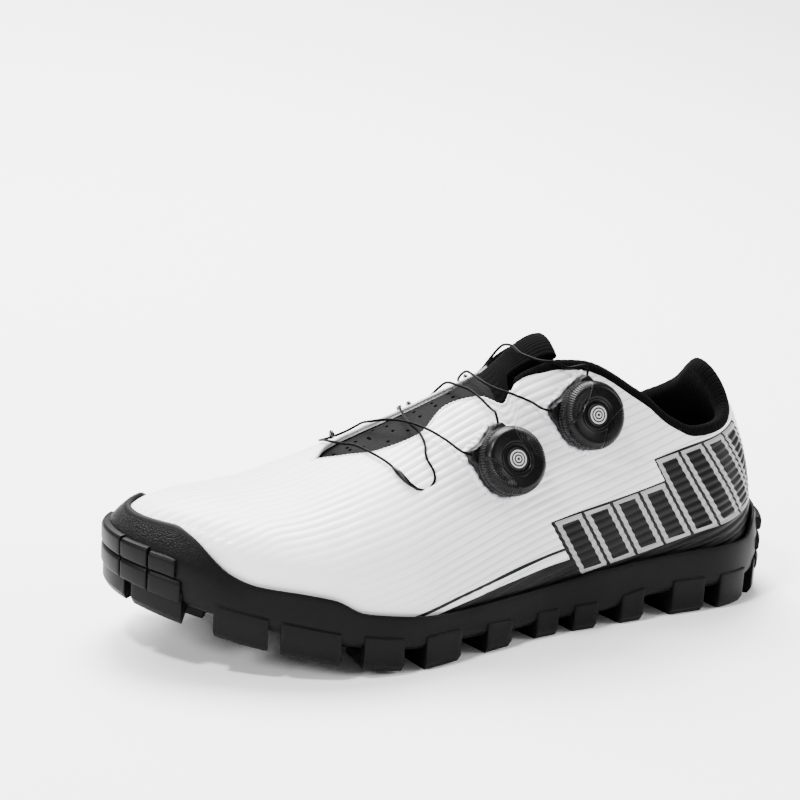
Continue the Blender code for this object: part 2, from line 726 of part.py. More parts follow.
def nut_plate(material):
    """Steel plate behind the slots, with its four threaded holes."""
    bm = bmesh.new()
    add_prism(bm, nut_corners(), RECESS_TOP - NUT_PLATE, RECESS_TOP - FIT)
    follow_rocker(bm, ROCKER_STATIONS)
    obj = mesh_object("cleat_nut_plate", bm, material)
    bm = bmesh.new()
    for end in (-1, 1):
        for side in (-1, 1):
            x = CLEAT_X * LENGTH + end * BOLT_SPACING / 2
            y = SIDE_Y + CLEAT_Y * BALL_WIDTH + side * SLOT_SPACING / 2
            bmesh.ops.create_cone(
                bm, cap_ends=True, segments=12, radius1=BOLT_WIDTH / 2, radius2=BOLT_WIDTH / 2,
                depth=RECESS_TOP * 2, matrix=Matrix.Translation((x, y, RECESS_TOP + TOE_SPRING * 0.2)))
    boolean(obj, hide_cutter(mesh_object("bolt_cutter", bm, None, CUTTERS)), "DIFFERENCE")
    return obj


def arch_plate(material):
    """Plate in the arch window, with fine ribs that run along the shoe."""
    corners = plan_corners(WINDOW, FIT)
    y_low, y_high = min(y for x, y in corners) - 0.001, max(y for x, y in corners) + 0.001
    x_low, x_high = min(x for x, y in corners) - 0.001, max(x for x, y in corners) + 0.001
    top = WINDOW_TOP - FIT
    pitch = (y_high - y_low) / WINDOW_RIBS
    ring = [(y_high, top), (y_low, top)]
    for i in range(WINDOW_RIBS):
        y = y_low + i * pitch
        ring += [(y, top - WINDOW_PLATE), (y + 0.35 * pitch, top - WINDOW_PLATE),
                 (y + 0.50 * pitch, top - WINDOW_PLATE - RIB_DEPTH), (y + 0.85 * pitch, top - WINDOW_PLATE - RIB_DEPTH)]
    ring.append((y_high, top - WINDOW_PLATE))
    bm = bmesh.new()
    add_loft(bm, [[(x, y, z) for y, z in ring] for x in (x_low, x_high)])
    obj = mesh_object("arch_plate", bm, material)
    bm = bmesh.new()
    add_prism(bm, corners, 0.0, RECESS_TOP * 2)
    boolean(obj, hide_cutter(mesh_object("window_trim", bm, None, CUTTERS)), "INTERSECT")
    return obj


def insole(material):
    """Flat foam sheet on the bed, inside the foot of the upper."""
    t = loop_places()
    low = skin(t, -1, UPPER_WALL + FIT)
    high = low + np.array([0, 0, INSOLE])
    bm = bmesh.new()
    grid = add_points(bm, np.stack([low, high], 1))
    add_grid(bm, grid, closed=True)
    add_strips(bm, grid[:, 0])
    add_strips(bm, grid[:, 1])
    return mesh_object("insole", bm, material)


WALL_ROWS = (0.10, 0.24, 0.40, 0.56, 0.72, 0.87, 1.0)


def upper(material):
    """Hollow upper: one wall, open underneath, at the throat and at the collar."""
    t = loop_places()
    top = top_turn(t)
    turns = [-1.0 + 0 * t, 0 * t] + [share * top for share in WALL_ROWS]
    bm = bmesh.new()
    layers = []
    for inset in (0.0, UPPER_WALL):
        points = np.stack([skin(t, turn, inset) for turn in turns], 1)
        layers.append(add_points(bm, points))
    outer, inner = layers
    add_grid(bm, outer, closed=True)
    add_grid(bm, inner, closed=True)
    count = len(t)
    for i in range(count):
        j = (i + 1) % count
        add_face(bm, outer[i][0], outer[j][0], inner[j][0], inner[i][0])
        if top[i] < 1 or top[j] < 1:
            add_face(bm, outer[i][-1], outer[j][-1], inner[j][-1], inner[i][-1])
    return mesh_object("upper", bm, material)


def depth_turn(t, depth):
    """Turn at a distance down the wall from the upper's top edge."""
    top = top_turn(t)
    return top - depth / turn_rate(t, top)


def collar_lining(material):
    """Padded cuff inside the collar, rolled over the upper's top edge."""
    inside = UPPER_WALL + 2 * FIT
    profile = (
        (-FIT, 0.0), (-0.7 * CUFF_ROLL, 0.0005), (-CUFF_ROLL, inside), (-0.6 * CUFF_ROLL, inside + 0.6 * CUFF_PAD),
        (0.2 * CUFF_DEPTH, inside + CUFF_PAD), (0.6 * CUFF_DEPTH, inside + CUFF_PAD),
        (CUFF_DEPTH, inside + 0.4 * CUFF_PAD), (CUFF_DEPTH, inside), (0.5 * CUFF_DEPTH, inside), (-FIT, inside))
    sections = []
    front = float(place(CUFF_FRONT))
    steps = [t for t in loop_places() if abs(t) < front - 0.004]
    for t in [-front] + steps + [front]:
        sections.append([skin(t, depth_turn(t, depth), inset) for depth, inset in profile])
    bm = bmesh.new()
    add_loft(bm, sections)
    return mesh_object("collar_lining", bm, material)


def tongue_turn(s, t):
    """Turn of the tongue's edge: tucked under the upper at the throat, between the cuff's ends above it."""
    top = top_turn(t)
    rate = turn_rate(t, np.minimum(top, 0.98))
    tucked = top - TONGUE_TUCK / rate
    free = top + (UPPER_WALL + CUFF_PAD + 4 * FIT) / rate
    share = np.clip((s - TONGUE_NECK) / (TONGUE_SHOULDER - TONGUE_NECK), 0, 1)
    return np.minimum(free + (tucked - free) * share, 0.97)


def tongue(material):
    """Tongue that closes the throat from inside and stands up between the ends of the cuff."""
    front = [float(station(t)) for t in loop_places() if t > 0]
    stations = sorted({TONGUE_TOP, TONGUE_NECK, TONGUE_SHOULDER, TONGUE_END}
                      | {s for s in front if TONGUE_TOP + 0.006 < s < TONGUE_END - 0.006
                         and abs(s - TONGUE_NECK) > 0.006 and abs(s - TONGUE_SHOULDER) > 0.006})
    sections = []
    for s in stations:
        ring = []
        for inset, order in ((UPPER_WALL + 2 * FIT, 1), (UPPER_WALL + 2 * FIT + TONGUE, -1)):
            line = []
            for sign, shares in ((1, (0.0, 0.35, 0.7)), (-1, (1.0, 0.7, 0.35, 0.0))):
                t = sign * float(place(s))
                edge = float(tongue_turn(s, t))
                line += [skin(t, edge + (1 - edge) * share, inset) for share in shares]
            ring += line[::order]
        sections.append(ring)
    bm = bmesh.new()
    add_loft(bm, sections)
    return mesh_object("tongue", bm, material)


def dial_frame(dial):
    """Matrix of a dial: origin on the upper, Z out along its axis, X towards the toe."""
    point, normal, along = skin_frame(dial["t"], dial["turn"])
    side = normal.cross(along).normalized()
    along = side.cross(normal).normalized()
    matrix = Matrix((along, side, normal)).transposed().to_4x4()
    matrix.translation = point
    return matrix


def base_radius(dial, angle):
    """Radius of a dial's base, swollen where the two wires leave it."""
    swell = 0.0
    for exit_angle in dial["exits"]:
        apart = (math.degrees(angle) - exit_angle + 180) % 360 - 180
        swell = max(swell, math.exp(-(apart / 16)**2))
    return DIAL_WIDTH / 2 + 0.0006 + 0.0022 * swell


def dial_base(name, dial, shell, material):
    """Base that fits the curve of the upper below and carries the knob above."""
    frame = dial_frame(dial)
    top = DIAL_BASE
    rings = []
    angles = np.linspace(0, 2 * math.pi, ROUND_STEPS, endpoint=False)
    down = -(frame.to_3x3() @ Vector((0, 0, 1)))
    for share, lift in ((0.45, 0.0013), (0.90, 0.0005), (1.0, 0.0012)):
        ring = []
        for angle in angles:
            radius = base_radius(dial, angle) * share
            start = frame @ Vector((radius * math.cos(angle), radius * math.sin(angle), 0.03))
            hit = shell.ray_cast(start, down)
            ring.append(hit[0] - down * (lift + 0.0001))
        rings.append(ring)
    for share, z in ((1.0, top - 0.0008), (0.95, top)):
        ring = []
        for angle in angles:
            radius = base_radius(dial, angle) * share
            ring.append(frame @ Vector((radius * math.cos(angle), radius * math.sin(angle), z)))
        rings.append(ring)
    bm = bmesh.new()
    add_loft(bm, [[tuple(point) for point in ring] for ring in rings])
    return mesh_object(name, bm, material)


def turned(name, profile, frame, material):
    """Turned piece on an axis, from a profile of radius and height that runs from top to bottom."""
    mesh = bpy.data.meshes.new(name)
    mesh.from_pydata([(radius, 0, z) for radius, z in profile], [(i, i + 1) for i in range(len(profile) - 1)], [])
    mesh.materials.append(material)
    obj = bpy.data.objects.new(name, mesh)
    PARTS.objects.link(obj)
    obj.matrix_world = frame
    screw = obj.modifiers.new("Screw", "SCREW")
    screw.axis = "Z"
    screw.steps = ROUND_STEPS
    screw.render_steps = ROUND_STEPS
    screw.use_merge_vertices = True
    screw.merge_threshold = 0.00001
    screw.use_smooth_shade = True
    return obj


def dial_knob(name, dial, material):
    """Knob with a chamfered crown and a seat for the button."""
    low = DIAL_BASE + FIT
    high = low + DIAL_HEIGHT
    radius = DIAL_WIDTH / 2
    seat = BUTTON_WIDTH / 2 + FIT
    profile = (
        (0, high - 0.0022), (seat, high - 0.0022), (seat, high - 0.0004), (0.60 * radius, high),
        (0.86 * radius, high - 0.0010), (0.97 * radius, high - 0.0028), (radius, high - 0.0040),
        (radius, low + 0.0006), (0.96 * radius, low), (0, low))
    return turned(name, profile, dial_frame(dial), material)


def dial_button(name, dial, material):
    """Plain round button in the middle of a knob."""
    seat = DIAL_BASE + FIT + DIAL_HEIGHT - 0.0022 + FIT
    radius = BUTTON_WIDTH / 2
    profile = ((0, seat + 0.0020), (0.80 * radius, seat + 0.0018), (radius, seat + 0.0012), (radius, seat), (0, seat))
    return turned(name, profile, dial_frame(dial), material)


def exit_points(dial, index):
    """The two points where a wire stands clear of a dial's base, from the dial outward."""
    frame = dial_frame(dial)
    angle = math.radians(dial["exits"][index])
    points = []
    for beyond, height in ((FIT + 0.0002, 0.0026), (0.0035, 0.0028)):
        radius = base_radius(dial, angle) + beyond
        points.append(frame @ Vector((radius * math.cos(angle), radius * math.sin(angle), height)))
    return points


def smooth_route(points, step_length):
    """Points at even distances along a smooth curve through a route."""
    points = [Vector(point) for point in points]
    dense = []
    for i in range(len(points) - 1):
        p0 = points[max(i - 1, 0)]
        p1, p2 = points[i], points[i + 1]
        p3 = points[min(i + 2, len(points) - 1)]
        for step in range(12):
            u = step / 12
            dense.append(0.5 * ((2 * p1) + (p2 - p0) * u + (2 * p0 - 5 * p1 + 4 * p2 - p3) * u**2
                                + (3 * p1 - p0 - 3 * p2 + p3) * u**3))
    dense.append(points[-1])
    lengths = np.concatenate([[0], np.cumsum([(b - a).length for a, b in zip(dense[:-1], dense[1:])])])
    array = np.array([tuple(point) for point in dense])
    even = np.linspace(0, lengths[-1], 1 + round(lengths[-1] / step_length))
    return np.stack([np.interp(even, lengths, array[:, k]) for k in range(3)], -1)


def tube(name, points, width, material, sides=2):
    """Closed round bar along points, as a mesh with welded ends."""
    data = bpy.data.curves.new(name, "CURVE")
    data.dimensions = "3D"
    data.bevel_depth = width / 2
    data.bevel_resolution = sides
    data.use_fill_caps = True
    spline = data.splines.new("POLY")
    spline.points.add(len(points) - 1)
    for target, point in zip(spline.points, points):
        target.co = (*point, 1)
    curve = bpy.data.objects.new(name + "_curve", data)
    PARTS.objects.link(curve)
    depsgraph = bpy.context.evaluated_depsgraph_get()
    mesh = bpy.data.meshes.new_from_object(curve.evaluated_get(depsgraph))
    bm = bmesh.new()
    bm.from_mesh(mesh)
    bpy.data.objects.remove(curve)
    return mesh_object(name, bm, material)


def lace(name, dial, route, material):
    """Wire that leaves a dial, crosses the throat, runs round the guides and comes back to the dial."""
    points = exit_points(dial, 0)
    points += [Vector(skin(t, turn, -lift * 0.001)) for t, turn, lift in route]
    points += exit_points(dial, 1)[::-1]
    return tube(name, smooth_route(points, LACE_STEP), LACE_WIDTH, material)


def guide(name, where, material):
    """Low hoop that stands on the upper and holds a wire down."""
    t, turn = where
    point, normal, along = skin_frame(t, turn)
    across = normal.cross(along).normalized()
    points = []
    for step in range(7):
        angle = math.pi * step / 6
        out = math.sin(angle)**0.8 * HOOP_HEIGHT + FIT
        points.append(point + across * (math.cos(angle) * HOOP_WIDTH / 2) + normal * out)
    return tube(name, points, GUIDE_WIRE, material)


def shell_tree(obj):
    """Search tree of an object's evaluated mesh."""
    return BVHTree.FromObject(obj, bpy.context.evaluated_depsgraph_get())


def material(name, look):
    """Principled material of a colour, a roughness and a metallic value."""
    colour, roughness, metallic = look
    made = bpy.data.materials.new(name)
    made.use_nodes = True
    shader = made.node_tree.nodes["Principled BSDF"]
    shader.inputs["Base Color"].default_value = (*colour, 1)
    shader.inputs["Roughness"].default_value = roughness
    shader.inputs["Metallic"].default_value = metallic
    return made


def collection(name):
    """New collection in the scene."""
    made = bpy.data.collections.new(name)
    bpy.context.scene.collection.children.link(made)
    return made


for old in list(bpy.context.scene.objects):
    bpy.data.objects.remove(old)
PARTS = collection("cycling_shoe")
CUTTERS = collection("cutters")


def main():
    """Build every piece of the shoe."""
    outsole(material("outsole_rubber", RUBBER))
    arch_plate(material("arch_nylon", RUBBER))
    cleat_plate(material("carbon_look", CARBON))
    nut_plate(material("nut_steel", STEEL))
    insole(material("insole_foam", FOAM))
    shell = upper(material("white_shell", WHITE_SHELL))
    collar_lining(material("cuff_knit", KNIT))
    tongue(material("tongue_grey", TONGUE_GREY))
    tree = shell_tree(shell)
    for side, dial in DIALS.items():
        dial_base(f"dial_{side}_base", dial, tree, material(f"dial_{side}_base_black", DIAL_BLACK))
        dial_knob(f"dial_{side}_knob", dial, material(f"dial_{side}_knob_black", DIAL_BLACK))
        dial_button(f"dial_{side}_button", dial, material(f"dial_{side}_button_grey", BUTTON_GREY))
    lace("lace_front", DIALS["front"], FRONT_ROUTE, material("wire_front", WIRE))
    lace("lace_rear", DIALS["rear"], REAR_ROUTE, material("wire_rear", WIRE))
    for name, where in GUIDES.items():
        guide(name, where, material(name + "_black", DIAL_BLACK))


main()
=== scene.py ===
"""Looks of the left cycling shoe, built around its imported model.

+X points to the toe, +Y to the outer side and +Z up. A place t runs round the edge of the sole, 0 at the
heel and 1 (outer side) or -1 (inner side) at the toe tip; a turn runs up the wall of the upper, -1 at its
foot, 0 where it is widest and 1 on the ridge.
"""

import math

import bmesh
import bpy
import numpy as np
from mathutils import Matrix, Vector
from mathutils.bvhtree import BVHTree


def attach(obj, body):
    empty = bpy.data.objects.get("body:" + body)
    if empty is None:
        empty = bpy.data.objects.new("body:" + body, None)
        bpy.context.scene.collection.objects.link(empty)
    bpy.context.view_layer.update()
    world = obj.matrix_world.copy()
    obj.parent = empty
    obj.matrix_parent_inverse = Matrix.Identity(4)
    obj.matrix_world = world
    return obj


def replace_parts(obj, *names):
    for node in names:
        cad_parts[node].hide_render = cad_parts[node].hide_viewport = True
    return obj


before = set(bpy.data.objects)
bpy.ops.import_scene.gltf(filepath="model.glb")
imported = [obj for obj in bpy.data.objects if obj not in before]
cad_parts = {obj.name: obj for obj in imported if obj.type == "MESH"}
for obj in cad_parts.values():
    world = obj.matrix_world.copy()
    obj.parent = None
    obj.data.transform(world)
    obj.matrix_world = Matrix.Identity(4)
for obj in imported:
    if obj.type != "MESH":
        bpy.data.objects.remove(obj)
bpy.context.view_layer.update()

# Sizes of the shoe, in metres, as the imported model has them
LENGTH = 0.298
BALL_WIDTH = 0.110
HEEL_WIDTH = 0.079
INSTEP_HEIGHT = 0.116
RIM_HEIGHT = 0.028
BED_HEIGHT = 0.018
LUG_HEIGHT = 0.010
TOE_SPRING = 0.024
UPPER_WALL = 0.0022
CUP_WALL = 0.0034
TOE_CUP_WALL = 0.0066
RIM_WALL = 0.0018
RIM_ROUND = 0.0007
INSOLE = 0.0030
TONGUE = 0.0030
TONGUE_TUCK = 0.007
CUFF_PAD = 0.0050
CUFF_ROLL = 0.0034
CUFF_DEPTH = 0.030
DIAL_WIDTH = 0.0290
DIAL_HEIGHT = 0.0085
DIAL_BASE = 0.0040
BUTTON_WIDTH = 0.0100
LACE_WIDTH = 0.0011
GUIDE_WIRE = 0.0018
NUT_PLATE = 0.0016
SLOT_LENGTH = 0.034
SLOT_WIDTH = 0.0085
SLOT_SPACING = 0.0140
FIT = 0.0003
CUP_GAP = 0.0007
EMBED = 0.0015
PROUD = 0.0008
SIDE_Y = -0.0019
SLOPE_STEP = 1e-4

# Camera: angles in degrees, distance in metres, lens in millimetres, shift in shares of the frame
CAMERA_AZIMUTH = 28.388
CAMERA_ELEVATION = 20.498
CAMERA_ROLL = 4.0
CAMERA_DISTANCE = 1.0
CAMERA_TARGET = (0.0, -0.0021, 0.045)
CAMERA_LENS = 106.022
CAMERA_SHIFT = (-0.06677, 0.13749)

# Ribs of the white skin
RIB_PITCH = 0.0038
RIB_DEPTH = 0.00070
RIB_RISE = 0.27
RIB_DIVE = 2.0
RIB_TOE = 0.80

UPPER_COLUMNS = 520
UPPER_ROWS = 150
TOE_CROWDING = 0.35


def rows(names, *values):
    """A short table: one array of numbers for each named column, its stations first."""
    return {name: np.array([row[i] for row in values], float)
            for i, name in enumerate(names.split())}


OUTLINE = rows(
    "s centre lateral medial",
    (0.00, -0.009, 0.481, 0.481),
    (0.13, -0.009, 0.500, 0.500),
    (0.30, 0.000, 0.467, 0.432),
    (0.42, 0.009, 0.425, 0.363),
    (0.55, 0.018, 0.454, 0.375),
    (0.64, 0.018, 0.491, 0.436),
    (0.72, 0.000, 0.500, 0.473),
    (0.85, -0.036, 0.455, 0.436),
    (1.00, -0.109, 0.400, 0.400))

PROFILE = rows(
    "s base bed rocker lateral_rim medial_rim",
    (0.00, 1.00, 1.00, 0.00, 1.36, 1.36),
    (0.03, 1.00, 1.00, 0.00, 1.30, 1.30),
    (0.06, 1.00, 1.00, 0.00, 1.04, 1.04),
    (0.12, 1.00, 1.00, 0.00, 1.03, 1.03),
    (0.22, 1.00, 0.97, 0.00, 1.00, 1.02),
    (0.32, 0.62, 0.92, 0.00, 0.92, 1.02),
    (0.45, 0.58, 0.85, 0.00, 0.78, 0.95),
    (0.56, 0.80, 0.82, 0.00, 0.77, 0.87),
    (0.62, 0.86, 0.80, 0.00, 0.82, 0.88),
    (0.68, 0.85, 0.80, 0.08, 0.91, 0.93),
    (0.72, 0.84, 0.80, 0.17, 0.99, 0.99),
    (0.76, 0.83, 0.80, 0.27, 1.21, 1.21),
    (0.80, 0.82, 0.79, 0.38, 1.30, 1.30),
    (0.86, 0.80, 0.77, 0.54, 1.39, 1.39),
    (0.888, 0.80, 0.76, 0.62, 1.50, 1.50),
    (0.935, 0.80, 0.75, 0.78, 1.94, 1.94),
    (0.96, 0.80, 0.75, 0.86, 2.04, 2.04),
    (1.00, 0.80, 0.75, 1.00, 2.05, 2.05))

UPPER = rows(
    "s waist ridge offset power",
    (0.00, 0.172, 1.045, -0.009, 2.00),
    (0.24, 0.200, 1.060, -0.009, 2.00),
    (0.38, 0.240, 1.055, -0.025, 2.00),
    (0.46, 0.250, 0.912, -0.040, 2.00),
    (0.56, 0.265, 0.782, -0.055, 2.05),
    (0.65, 0.290, 0.680, -0.065, 2.10),
    (0.72, 0.310, 0.608, -0.070, 2.15),
    (0.80, 0.340, 0.548, -0.070, 2.15),
    (0.87, 0.360, 0.538, -0.070, 2.20),
    (1.00, 0.420, 0.538, -0.070, 2.40))

EDGE = rows(
    "s lateral medial",
    (0.000, 0.570, 0.570),
    (0.015, 0.520, 0.520),
    (0.050, 0.435, 0.430),
    (0.090, 0.405, 0.385),
    (0.150, 0.392, 0.355),
    (0.195, 0.428, 0.360),
    (0.260, 0.535, 0.440),
    (0.340, 0.675, 0.590),
    (0.400, 0.700, 0.670),
    (0.440, 0.745, 0.710),
    (0.460, 0.690, 0.730),
    (0.490, 0.820, 0.750),
    (0.530, 0.880, 0.780),
    (0.580, 0.800, 0.790),
    (0.640, 0.840, 0.810),
    (0.680, 0.930, 0.870),
    (0.715, 1.000, 1.000),
    (1.000, 1.000, 1.000))

HEEL_ROUND = 0.135
TOE_ROUND = 0.27
HEEL_POWER = 2.2
TOE_POWER = 2.1
HEEL_CENTRE = 0.24
TOE_CENTRE = 0.87
BUMPER_START = 0.86
BUMPER_FULL = 0.96
CUFF_FRONT = 0.435
TONGUE_TOP = 0.370
TONGUE_SHOULDER = 0.452
TONGUE_NECK = 0.440
TONGUE_END = 0.745

LATERAL_LUGS = rows(
    "start end reach slant",
    (0.068, 0.118, 0.235, 0.022),
    (0.145, 0.200, 0.250, 0.026),
    (0.250, 0.288, 0.130, 0.014),
    (0.330, 0.368, 0.130, 0.014),
    (0.395, 0.432, 0.130, 0.012),
    (0.478, 0.522, 0.150, 0.010),
    (0.568, 0.628, 0.170, 0.012),
    (0.662, 0.720, 0.185, 0.014),
    (0.752, 0.828, 0.190, 0.016),
    (0.842, 0.905, 0.200, 0.012))
MEDIAL_LUGS = rows(
    "start end reach slant",
    (0.068, 0.118, 0.235, 0.022),
    (0.145, 0.200, 0.250, 0.026),
    (0.262, 0.300, 0.120, 0.014),
    (0.358, 0.412, 0.120, 0.014),
    (0.470, 0.520, 0.110, 0.012),
    (0.588, 0.640, 0.110, 0.012),
    (0.680, 0.735, 0.140, 0.012),
    (0.765, 0.815, 0.170, 0.012),
    (0.835, 0.878, 0.180, 0.010),
    (0.895, 0.930, 0.170, 0.008))
WRAP_LUGS = rows(
    "start end reach",
    (-0.128, -0.062, 0.120),
    (-0.050, 0.050, 0.130),
    (0.062, 0.128, 0.120),
    (0.840, 0.925, 0.130),
    (0.940, 1.060, 0.120),
    (1.075, 1.140, 0.130))
CENTRE_LUGS = rows(
    "s offset length breadth heading",
    (0.110, 0.000, 1.5, 0.8, 60.0),
    (0.185, -0.010, 1.7, 0.9, -50.0),
    (0.880, 0.025, 1.9, 0.6, 35.0),
    (0.872, -0.095, 1.9, 0.6, -25.0),
    (0.913, 0.060, 1.8, 0.6, -35.0),
    (0.918, -0.120, 1.8, 0.8, 20.0))
BUMPER_BLOCKS = rows(
    "start end low high",
    (0.842, 0.8905, 0.05, 0.375),
    (0.8935, 0.9485, 0.05, 0.375),
    (0.9515, 1.0485, 0.05, 0.375),
    (1.0515, 1.1065, 0.05, 0.375),
    (1.1095, 1.155, 0.05, 0.375),
    (0.850, 0.8905, 0.395, 0.66),
    (0.8935, 0.9485, 0.395, 0.70),
    (0.9515, 1.0485, 0.395, 0.72),
    (1.0515, 1.1065, 0.395, 0.70),
    (1.1095, 1.147, 0.395, 0.66),
    (-0.115, 0.115, 0.04, 0.27),
    (-0.105, 0.105, 0.34, 0.57),
    (-0.090, 0.090, 0.64, 0.86))
BLOCK_PROUD = 0.0016

RECESS = rows(
    "x y",
    (0.047, 0.130), (0.105, 0.225), (0.285, 0.225), (0.340, 0.100),
    (0.340, -0.050), (0.305, -0.150), (0.120, -0.150), (0.047, -0.060))
WINDOW = rows(
    "x y",
    (-0.270, -0.060), (-0.215, 0.090), (-0.125, 0.145), (0.020, 0.160),
    (0.020, -0.125), (-0.240, -0.125))
RAILS = rows(
    "s outer_low outer_high inner_low inner_high",
    (0.565, 0.262, 0.345, -0.262, -0.190),
    (0.600, 0.262, 0.350, -0.270, -0.190),
    (0.680, 0.262, 0.345, -0.272, -0.190),
    (0.740, 0.262, 0.325, -0.272, -0.190),
    (0.785, 0.262, 0.300, -0.262, -0.200))
RAIL_DEPTH = 0.0065
RECESS_TOP = 0.0132
RECESS_STEP = 0.0012
RECESS_LIP = 0.0034
WINDOW_TOP = 0.0118
CLEAT_X = 0.194
CLEAT_Y = 0.035
ROCKER_STATIONS = (0.62, 0.65, 0.68, 0.71, 0.74, 0.77, 0.80, 0.83)

DIALS = {
    "front": dict(t=0.4875, turn=0.442, exits=(-38.0, -105.0)),
    "rear": dict(t=0.405, turn=0.472, exits=(-12.0, -95.0)),
}
FRONT_ROUTE = (
    (0.538, 0.678, 2.6), (0.549, 0.790, 3.0), (0.560, 0.905, 3.0), (0.570, 0.985, 2.8),
    (-0.577, 0.920, 2.0), (-0.578, 0.800, 1.5), (-0.580, 0.710, 1.3), (-0.586, 0.655, 1.3),
    (-0.597, 0.640, 1.3), (-0.608, 0.660, 1.3), (-0.614, 0.720, 1.3), (-0.616, 0.820, 1.5),
    (-0.616, 0.930, 1.8), (0.611, 0.985, 1.8), (0.604, 0.930, 1.6), (0.597, 0.820, 1.4),
    (0.591, 0.730, 1.3), (0.587, 0.650, 1.3), (0.582, 0.570, 1.2), (0.576, 0.530, 0.4),
    (0.566, 0.505, -1.0), (0.557, 0.520, -0.3), (0.556, 0.565, 1.0), (0.558, 0.650, 1.3),
    (0.554, 0.720, 1.3), (0.553, 0.800, 1.3), (0.555, 0.890, 1.4), (-0.551, 0.960, 1.5),
    (-0.546, 0.860, 1.5), (-0.544, 0.780, 1.4), (-0.540, 0.700, 1.3), (-0.532, 0.650, 1.3),
    (-0.521, 0.645, 1.3), (-0.511, 0.670, 1.3), (-0.506, 0.760, 1.4), (-0.504, 0.880, 1.5),
    (0.503, 0.970, 1.6), (0.498, 0.880, 1.6), (0.494, 0.785, 1.7), (0.490, 0.700, 2.0))
REAR_ROUTE = (
    (0.455, 0.600, 1.9), (0.467, 0.693, 1.6), (0.480, 0.800, 1.5), (0.486, 0.900, 1.5),
    (-0.487, 0.950, 1.6), (-0.487, 0.840, 1.5), (-0.486, 0.740, 1.3), (-0.481, 0.670, 1.3),
    (-0.471, 0.640, 1.3), (-0.461, 0.650, 1.3), (-0.455, 0.710, 1.1), (-0.452, 0.790, 0.8),
    (-0.451, 0.900, 0.4), (0.450, 0.960, 0.4), (0.449, 0.860, 0.7), (0.440, 0.740, 2.0),
    (0.428, 0.690, 2.2), (0.416, 0.655, 2.4))
GUIDES = {
    "guide_front_medial": (-0.597, 0.640),
    "guide_middle_medial": (-0.526, 0.645),
    "guide_rear_medial": (-0.471, 0.640),
    "guide_lateral": (0.566, 0.505),
}
SLEEVE = ((0.589, 0.685, 1.3), (0.587, 0.650, 1.3), (0.582, 0.570, 1.2), (0.576, 0.530, 0.4), (0.574, 0.522, -0.2))
BINDING = 0.0022
FOOT_SLIM = 0.0014
FOOT_LOBE = 0.0005
HOOP_WIDTH = 0.0064
HOOP_HEIGHT = 0.0030

# Print on the outer side: slanted bars of even pitch between a low line and a high line, which steps up
# once, all measured in metres along the girth from the heel side; the lines rise by a share of the length
BAR_START = -0.0430
BAR_END = -0.1575
BAR_COUNT = 8
BAR_FILL = 0.0084
BAR_LEAN = 0.546
BAR_OUTLINE = 0.0019
BAR_LINE = 0.0010
BAR_JOG = 0.00013
BAR_LOW = 0.0245
BAR_HIGH = 0.0520
BAR_TALL = 0.0630
BAR_STEP = BAR_START + (BAR_END - BAR_START) * 0.5
BAR_RISE = 0.185
THIN_LINE = 0.0008
AWAY = 0.03

# Soft troughs of the upper: place t, turn, reach along and across in millimetres, depth, heading in degrees
CREASES = rows(
    "t turn along across depth heading",
    (0.470, 0.270, 24.0, 5.0, 0.55, -14.0),
    (0.385, 0.300, 22.0, 5.0, 0.50, -14.0),
    (0.640, 0.560, 26.0, 6.0, 0.40, 62.0),
    (0.665, 0.330, 20.0, 6.0, 0.30, 70.0),
    (-0.640, 0.500, 26.0, 6.0, 0.45, -62.0),
    (0.240, 0.240, 22.0, 7.0, 0.35, 20.0))


def read(table, name, s):
    """A column of a table at the stations s, by a smooth curve that never overshoots its rows."""
    x = table["s"]
    y = table[name]
    gap = np.diff(x)
    rise = np.diff(y) / gap
    slope = np.concatenate([[rise[0]], np.zeros(len(x) - 2), [rise[-1]]])
    before, after = rise[:-1], rise[1:]
    near, far = 2 * gap[1:] + gap[:-1], gap[1:] + 2 * gap[:-1]
    same = before * after > 0
    slope[1:-1][same] = (near + far)[same] / (near[same] / before[same] + far[same] / after[same])
    s = np.clip(np.asarray(s, float), x[0], x[-1])
    i = np.clip(np.searchsorted(x, s) - 1, 0, len(gap) - 1)
    u = (s - x[i]) / gap[i]
    start = (2 * u**3 - 3 * u**2 + 1) * y[i] + (u**3 - 2 * u**2 + u) * gap[i] * slope[i]
    return start + (3 * u**2 - 2 * u**3) * y[i + 1] + (u**3 - u**2) * gap[i] * slope[i + 1]


def two_sided(table, lateral, medial, t):
    """The lateral or the medial column of a table, whichever side of the shoe t is on."""
    s = station(t)
    return np.where(is_lateral(t), read(table, lateral, s), read(table, medial, s))


def station(t):
    """Share of the length, from the heel, of a place on the edge."""
    return 0.5 - 0.5 * np.cos(np.pi * np.asarray(t, float))


def place(s):
    """Place on the lateral edge of a share of the length."""
    return np.arccos(1 - 2 * np.asarray(s, float)) / np.pi


def is_lateral(t):
    """True on the outer side of the shoe, also for places counted past the toe."""
    return np.sin(np.pi * np.asarray(t, float)) >= 0


def rounded(share, power):
    """Half width of a rounded end, from 0 at its tip to 1 where it is full."""
    return (1 - (1 - np.clip(share, 0, 1))**power)**(1 / power)


def smooth(x, low, high):
    """Smooth step from 0 at low to 1 at high."""
    u = np.clip((np.asarray(x, float) - low) / (high - low), 0, 1)
    return u * u * (3 - 2 * u)


def breadth(s):
    """Width of the sole that its outline shares refer to, from the heel to the ball."""
    return HEEL_WIDTH + (BALL_WIDTH - HEEL_WIDTH) * smooth(s, 0.15, 0.65)


